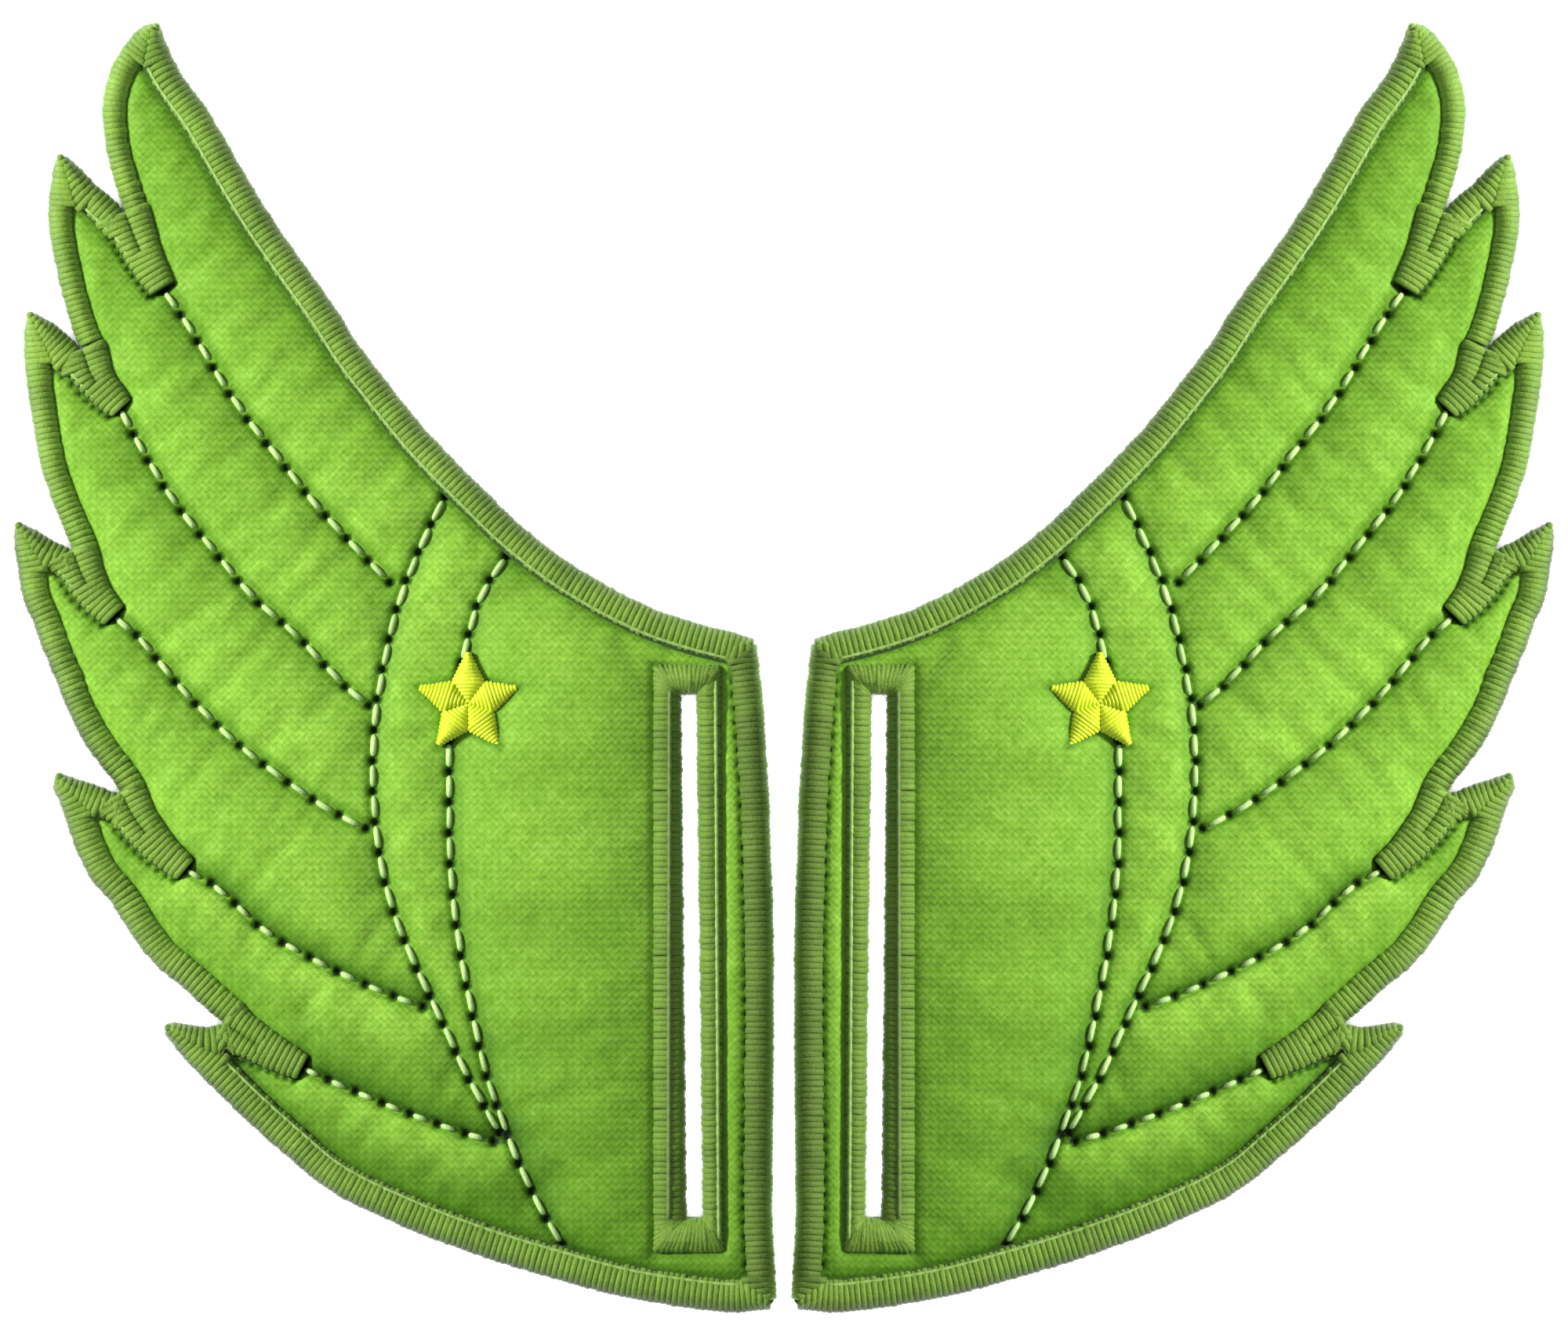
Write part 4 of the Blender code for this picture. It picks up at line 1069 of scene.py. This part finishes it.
def thin(loop, pitch):
    return spaced(closed(loop), pitch)[:-1]


def core_shape():
    """The padded underlay beneath the border stitches, a solid band that closes the cut edge of the cloth."""
    rim = thin(contour_loops(DEPTH, 0.16)[0], 0.9)
    free = thin(contour_loops(-FREE, -0.05)[0], 0.9) if False else thin(FREE_LOOPS[0], 0.9)
    crest = thin(contour_loops(DEPTH, 1.3)[0], 1.2)
    crest = crest[free_at(crest) < -0.6]

    def top(points):
        d = G.read(DEPTH, points)
        f = -free_at(points)
        return 1.45 + 0.78 * np.clip(np.minimum(d, f + 0.1) / 0.8, 0, 1) ** 0.7

    return slab_shape([rim, free], 0.24, top, [tuple(p) for p in crest])


def slot_core_shape():
    rim = np.array(SLOT, float) + np.array([(-0.16, -0.16), (0.16, -0.16), (0.16, 0.16), (-0.16, 0.16)])
    free = np.array(SLOT_BINDING, float)
    rim, free = thin(rim, 2.0), thin(free, 2.0)

    def top(points):
        f = -beyond(points, SLOT_BINDING)
        d = beyond(points, SLOT)
        return 1.45 + 0.75 * np.clip(np.minimum(d, f + 0.1) / 0.8, 0, 1) ** 0.7

    mids = thin((np.array(SLOT) + np.array(SLOT_BINDING)) / 2, 1.5)
    return slab_shape([free, rim], 0.24, top, [tuple(p) for p in mids])


def ridge_shape():
    """The straight edge-run thread along the inner side of each binding."""
    shape = Shape()
    slot_line = np.array([(5.95, 5.9), (11.1, 5.9)])
    loop = thin(FREE_LOOPS[0], 0.4)
    apart = np.array([nearest(loop, smooth_curve(run, 0.8))[0] - width for run, width in zip(OUTLINE, BORDER_WIDTHS)])
    shown = np.isin(np.argmin(apart, axis=0), RIDGED) & (np.min(apart, axis=0) < 0.5)
    for tail in TAIL_LINES:
        d, along, side = nearest(loop, tail)
        length = np.linalg.norm(np.diff(tail, axis=0), axis=1).sum()
        close = d < TAIL_START + 0.6
        shown = np.where(close, (side > 0) & (along < 0.82 * length), shown)
    first = int(np.argmin(shown))
    loop, shown = np.roll(loop, -first, axis=0), np.roll(shown, -first)
    runs, current = [], []
    for q, ok in zip(loop, shown):
        if ok:
            current.append(q)
        elif current:
            runs.append(np.array(current))
            current = []
    runs.append(np.array(current))
    for line in runs:
        if len(line) < 8:
            continue
        for _ in range(4):
            line[1:-1] = (line[:-2] + 2 * line[1:-1] + line[2:]) / 4
        way = np.gradient(line, axis=0)
        way /= np.hypot(*way.T)[:, None] + 1e-9
        side = np.column_stack([-way[:, 1], way[:, 0]])
        inset = line - side * 0.56
        beat = 0.5 + 0.5 * np.cos(np.arange(len(line)) * 2 * np.pi * 0.4 / 1.3)
        z = 2.14 + 0.05 * beat
        z[0] = z[-1] = 1.7
        # painted highlight: the pale thread is lighter on each lump
        shape.strand(np.column_stack([inset, z]), np.column_stack([side, np.zeros(len(side))]), 0.16 + 0.03 * beat, 0.16, 0.88 + 0.2 * beat)
    return shape


def slot_ridge_shape():
    """The same thread on the slot's binding: along the outer side of the near leg and the middle of the far one."""
    shape = Shape()
    for us, ys in (((6.2, 6.5), (6.6, 60.2)), ((10.95, 10.85), (8.6, 59.2))):
        count = int((ys[1] - ys[0]) / 0.4)
        y = np.linspace(ys[0], ys[1], count)
        u = np.interp(y, ys, us)
        beat = 0.5 + 0.5 * np.cos(np.arange(count) * 2 * np.pi * 0.4 / 1.3)
        z = np.full(count, 2.28 if us[0] < 7 else 2.52)
        z[0] = z[-1] = 1.8
        path = np.column_stack([u, y, z + 0.04 * beat])
        # painted highlight: the pale thread is lighter on each lump, and the far leg's thread is half as bright
        shape.strand(path, np.array([1.0, 0.0]), 0.18 + 0.03 * beat, 0.17, (0.86 + 0.2 * beat) * (1.0 if us[0] < 7 else 0.5))
    return shape


def running_shape():
    """The visible stitches of every quilting seam, each dipping into its needle holes."""
    shape = Shape()
    for name, runs in HOLES.items():
        for holes in runs:
            for a, b in zip(holes, holes[1:]):
                way = b - a
                size = float(np.hypot(*way))
                if size < 1.2:
                    continue
                way /= size
                turn = rng.uniform(-0.06, 0.06)
                side = np.array([-way[1], way[0]]) + way * turn
                side /= np.hypot(*side)
                t = np.array([0.17, 0.20, 0.25, 0.34, 0.5, 0.66, 0.75, 0.80, 0.83])
                if name.startswith("feather"):
                    t = 0.15 + (t - 0.17) * (0.60 if name in ("feather_seam_4", "feather_seam_5") else 0.80)
                lift = np.array([-0.45, -0.14, 0.08, 0.20, 0.25, 0.20, 0.08, -0.14, -0.45])
                flat_points = a + (b - a) * t[:, None] + np.array([-way[1], way[0]]) * (rng.uniform(-0.04, 0.04) * np.sin(np.pi * t))[:, None]
                base = G.read(SEAM_FLOOR, flat_points)
                path = np.column_stack([flat_points, base + lift + 0.06])
                wide = np.array([0.13, 0.20, 0.25, 0.27, 0.275, 0.27, 0.25, 0.20, 0.13]) * rng.uniform(0.92, 1.08)
                shape.strand(path, side, wide, wide * 0.9, rng.uniform(0.82, 1.12), sides=8)
    return shape


# height of the bottom of the stitching channel, without the holes
SEAM_FLOOR = soften(HEIGHT + 0.60 * np.exp(-((HOLE / 0.42) ** 2)), 1)


def star_shapes():
    """Satin stitch laid across each of the star's five arms, on a domed underlay."""
    threads = Shape()
    seat = float(np.median(height_at(STAR_CENTRE + np.array([[a, b] for a in (-1.5, 0, 1.5) for b in (-1.5, 0, 1.5)]))))
    waist = STAR_R * STAR_WAIST
    at_waist = waist * math.cos(math.pi / 5)
    half_max = waist * math.sin(math.pi / 5)
    for k in range(5):
        angle = math.pi / 2 + 2 * math.pi * k / 5
        way = np.array([math.cos(angle), math.sin(angle)])
        side = np.array([-way[1], way[0]])
        t = 0.25
        while t < STAR_R - 0.10:
            half = half_max * t / at_waist if t < at_waist else half_max * (STAR_R - t) / (STAR_R - at_waist)
            half = max(half, 0.20) + rng.uniform(0.0, 0.05)
            crown = seat + 0.30 + 0.62 * min(1.0, half / half_max) ** 0.6
            p = STAR_CENTRE + way * t
            floor = height_at(p[None])[0]
            low = min(seat, floor) - 0.05
            path = [(*(p + side * q * half), z) for q, z in ((-1.04, low), (-0.98, low + 0.45 * (crown - low)), (-0.74, low + 0.78 * (crown - low)), (-0.35, crown - 0.04), (0, crown), (0.35, crown - 0.04), (0.74, low + 0.78 * (crown - low)), (0.98, low + 0.45 * (crown - low)), (1.04, low))]
            threads.strand(path, way, 0.205, 0.15, rng.uniform(0.90, 1.08))
            t += 0.34
    radii = [STAR_R - 0.5, waist - 0.15] * 5
    loop = np.array([(STAR_CENTRE[0] + r * math.cos(math.pi / 2 + math.pi * k / 5), STAR_CENTRE[1] + r * math.sin(math.pi / 2 + math.pi * k / 5)) for k, r in enumerate(radii)])
    under = slab_shape([loop], seat - 0.4, lambda q: seat + 0.45 * np.clip(1 - np.hypot(*(q - STAR_CENTRE).T) / STAR_R, 0, 1) + 0.1, [tuple(STAR_CENTRE)])
    return threads, under


def back_shape():
    pucker = np.exp(-((SEAM / 1.1) ** 2)) * (FREE > 0)
    height = 0.16 + 0.22 * pucker
    keep = (DEPTH > 0.8) & (SLOT_IN2 > 0.6)
    # painted shade along the seams of the backing
    return sheet_grid(keep, height, 1 - 0.25 * np.exp(-((SEAM / 0.5) ** 2)))


def back_running_shape():
    shape = Shape()
    for name, runs in HOLES.items():
        for holes in runs:
            for a, b in zip(holes, holes[1:]):
                way = b - a
                size = float(np.hypot(*way))
                if size < 1.2:
                    continue
                way /= size
                side = np.array([-way[1], way[0]])
                t = np.array([0.06, 0.2, 0.5, 0.8, 0.94])
                z = np.array([0.5, 0.24, 0.18, 0.24, 0.5])
                path = np.column_stack([a + (b - a) * t[:, None], z])
                shape.strand(path, side, 0.2, 0.15, rng.uniform(0.85, 1.1))
    return shape


face = face_shape()
back = back_shape()
core = core_shape()
slot_core = slot_core_shape()
border, slot = binding_shapes()
ridge = ridge_shape()
slot_ridge = slot_ridge_shape()
running = running_shape()
back_running = back_running_shape()
star_threads, star_under = star_shapes()
print("points:", {name: shape.count for name, shape in dict(face=face, back=back, core=core, border=border, slot=slot, ridge=ridge, running=running, star=star_threads).items()})

LAYER = lambda hand, part, names: [f"{hand}_{part}_{n}" for n in names]
for side, hand in ((-1, "left"), (1, "right")):
    tab, feathers = f"{hand}_tab", f"{hand}_feathers"
    start = (side * (FOLD_U - FOLD_ZONE) * MM, 0, 0)

    def bend(obj):
        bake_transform(obj)
        return obj

    face_obj = bend(make(f"{hand}_quilted_face", face, side, FACE))
    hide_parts(*LAYER(hand, "tab", ("face_cloth", "padding", "stiffener")), *LAYER(hand, "feather", ("face_cloth", "padding", "stiffener")), f"{hand}_fold_web")
    back_obj = bend(make(f"{hand}_backing_cloth", back, side, BACK))
    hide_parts(f"{hand}_tab_backing", f"{hand}_feather_backing")
    bend(make(f"{hand}_border_underlay", core, side, CORE))
    border_obj = bend(make(f"{hand}_border_stitches", border, side, BORDER))
    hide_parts(f"{hand}_tab_edge_binding", f"{hand}_feather_edge_binding")
    bend(make(f"{hand}_edge_run", ridge, side, RIDGE))
    run_obj = bend(make(f"{hand}_quilting_stitches", running, side, RUNNING))
    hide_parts(*[f"{hand}_{n}" for n in ("feather_seam_1", "feather_seam_2", "feather_seam_3", "feather_seam_4", "feather_seam_5", "outer_spine_seam", "inner_spine_seam_top", "inner_spine_seam")])
    bend(make(f"{hand}_bobbin_stitches", back_running, side, RUNNING))
    slot_obj = make(f"{hand}_slot_stitches", slot, side, BORDER)
    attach(slot_obj, tab)
    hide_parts(f"{hand}_slot_binding")
    run_two = make(f"{hand}_slot_edge_run", slot_ridge, side, RIDGE)
    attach(run_two, tab)
    under_obj = make(f"{hand}_slot_underlay", slot_core, side, CORE)
    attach(under_obj, tab)
    star_obj = make(f"{hand}_star_stitches", star_threads, side, STAR)
    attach(star_obj, feathers)
    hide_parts(f"{hand}_star_emblem")
    star_base = make(f"{hand}_star_underlay", star_under, side, STAR_UNDER, smooth=False)
    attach(star_base, feathers)

# ----------------------------------------------------------------------------------------------------------------
# Stage, light and camera
# ----------------------------------------------------------------------------------------------------------------

scene = bpy.context.scene
scene.view_settings.view_transform = "Standard"
scene.view_settings.look = "None"
scene.view_settings.exposure = 0.0

floor_mesh = bpy.data.meshes.new("studio_floor")
floor_mesh.from_pydata([(-3, -3, -0.0002), (3, -3, -0.0002), (3, 3, -0.0002), (-3, 3, -0.0002)], [], [(0, 1, 2, 3)])
floor = bpy.data.objects.new("studio_floor", floor_mesh)
scene.collection.objects.link(floor)
n = Nodes("studio_floor_paper")
n.shader.inputs["Base Color"].default_value = (0.93, 0.93, 0.93, 1)
n.shader.inputs["Roughness"].default_value = 0.9
n.shader.inputs["Specular IOR Level"].default_value = 0.1
floor_mesh.materials.append(n.material)

world = bpy.data.worlds.new("studio")
world.use_nodes = True
world.node_tree.nodes["Background"].inputs["Color"].default_value = (1, 1, 1, 1)
world.node_tree.nodes["Background"].inputs["Strength"].default_value = 0.34
scene.world = world


def area(name, place, target, size, power):
    light = bpy.data.lights.new(name, "AREA")
    light.shape = "DISK"
    light.size = size
    light.energy = power
    obj = bpy.data.objects.new(name, light)
    obj.location = place
    obj.rotation_euler = (Vector(target) - Vector(place)).to_track_quat("-Z", "Y").to_euler()
    obj.visible_camera = False
    scene.collection.objects.link(obj)
    return obj


def only_on(light, name, objects):
    """The light falls on these objects alone, as a studio flag would hold it off the rest."""
    group = bpy.data.collections.new(name)
    for obj in objects:
        group.objects.link(obj)
    light.light_linking.receiver_collection = group


for side, hand in ((-1, "left"), (1, "right")):
    key = area(f"key_{hand}", (side * 0.47, 0.16, 0.30), (side * 0.04, 0, 0), 0.08, 4.6)
    key.data.color = (1.0, 0.98, 0.84)
    only_on(key, f"{hand}_wing_pieces", [o for o in scene.objects if o.type == "MESH" and o.name.startswith(hand)])
wash = area("floor_wash", (0, 0, 1.5), (0, 0, 0), 2.0, 60)
only_on(wash, "floor_pieces", [floor])

camera = bpy.data.cameras.new("camera")
camera.sensor_width = 36
distance = 1.2
camera.lens = 36 * distance / (2000 / 13.4 * MM)
camera.clip_end = 20
camera_obj = bpy.data.objects.new("camera", camera)
camera_obj.location = (0.0, 0.0, distance)
camera_obj.rotation_euler = (0, 0, 0)
scene.collection.objects.link(camera_obj)
scene.camera = camera_obj
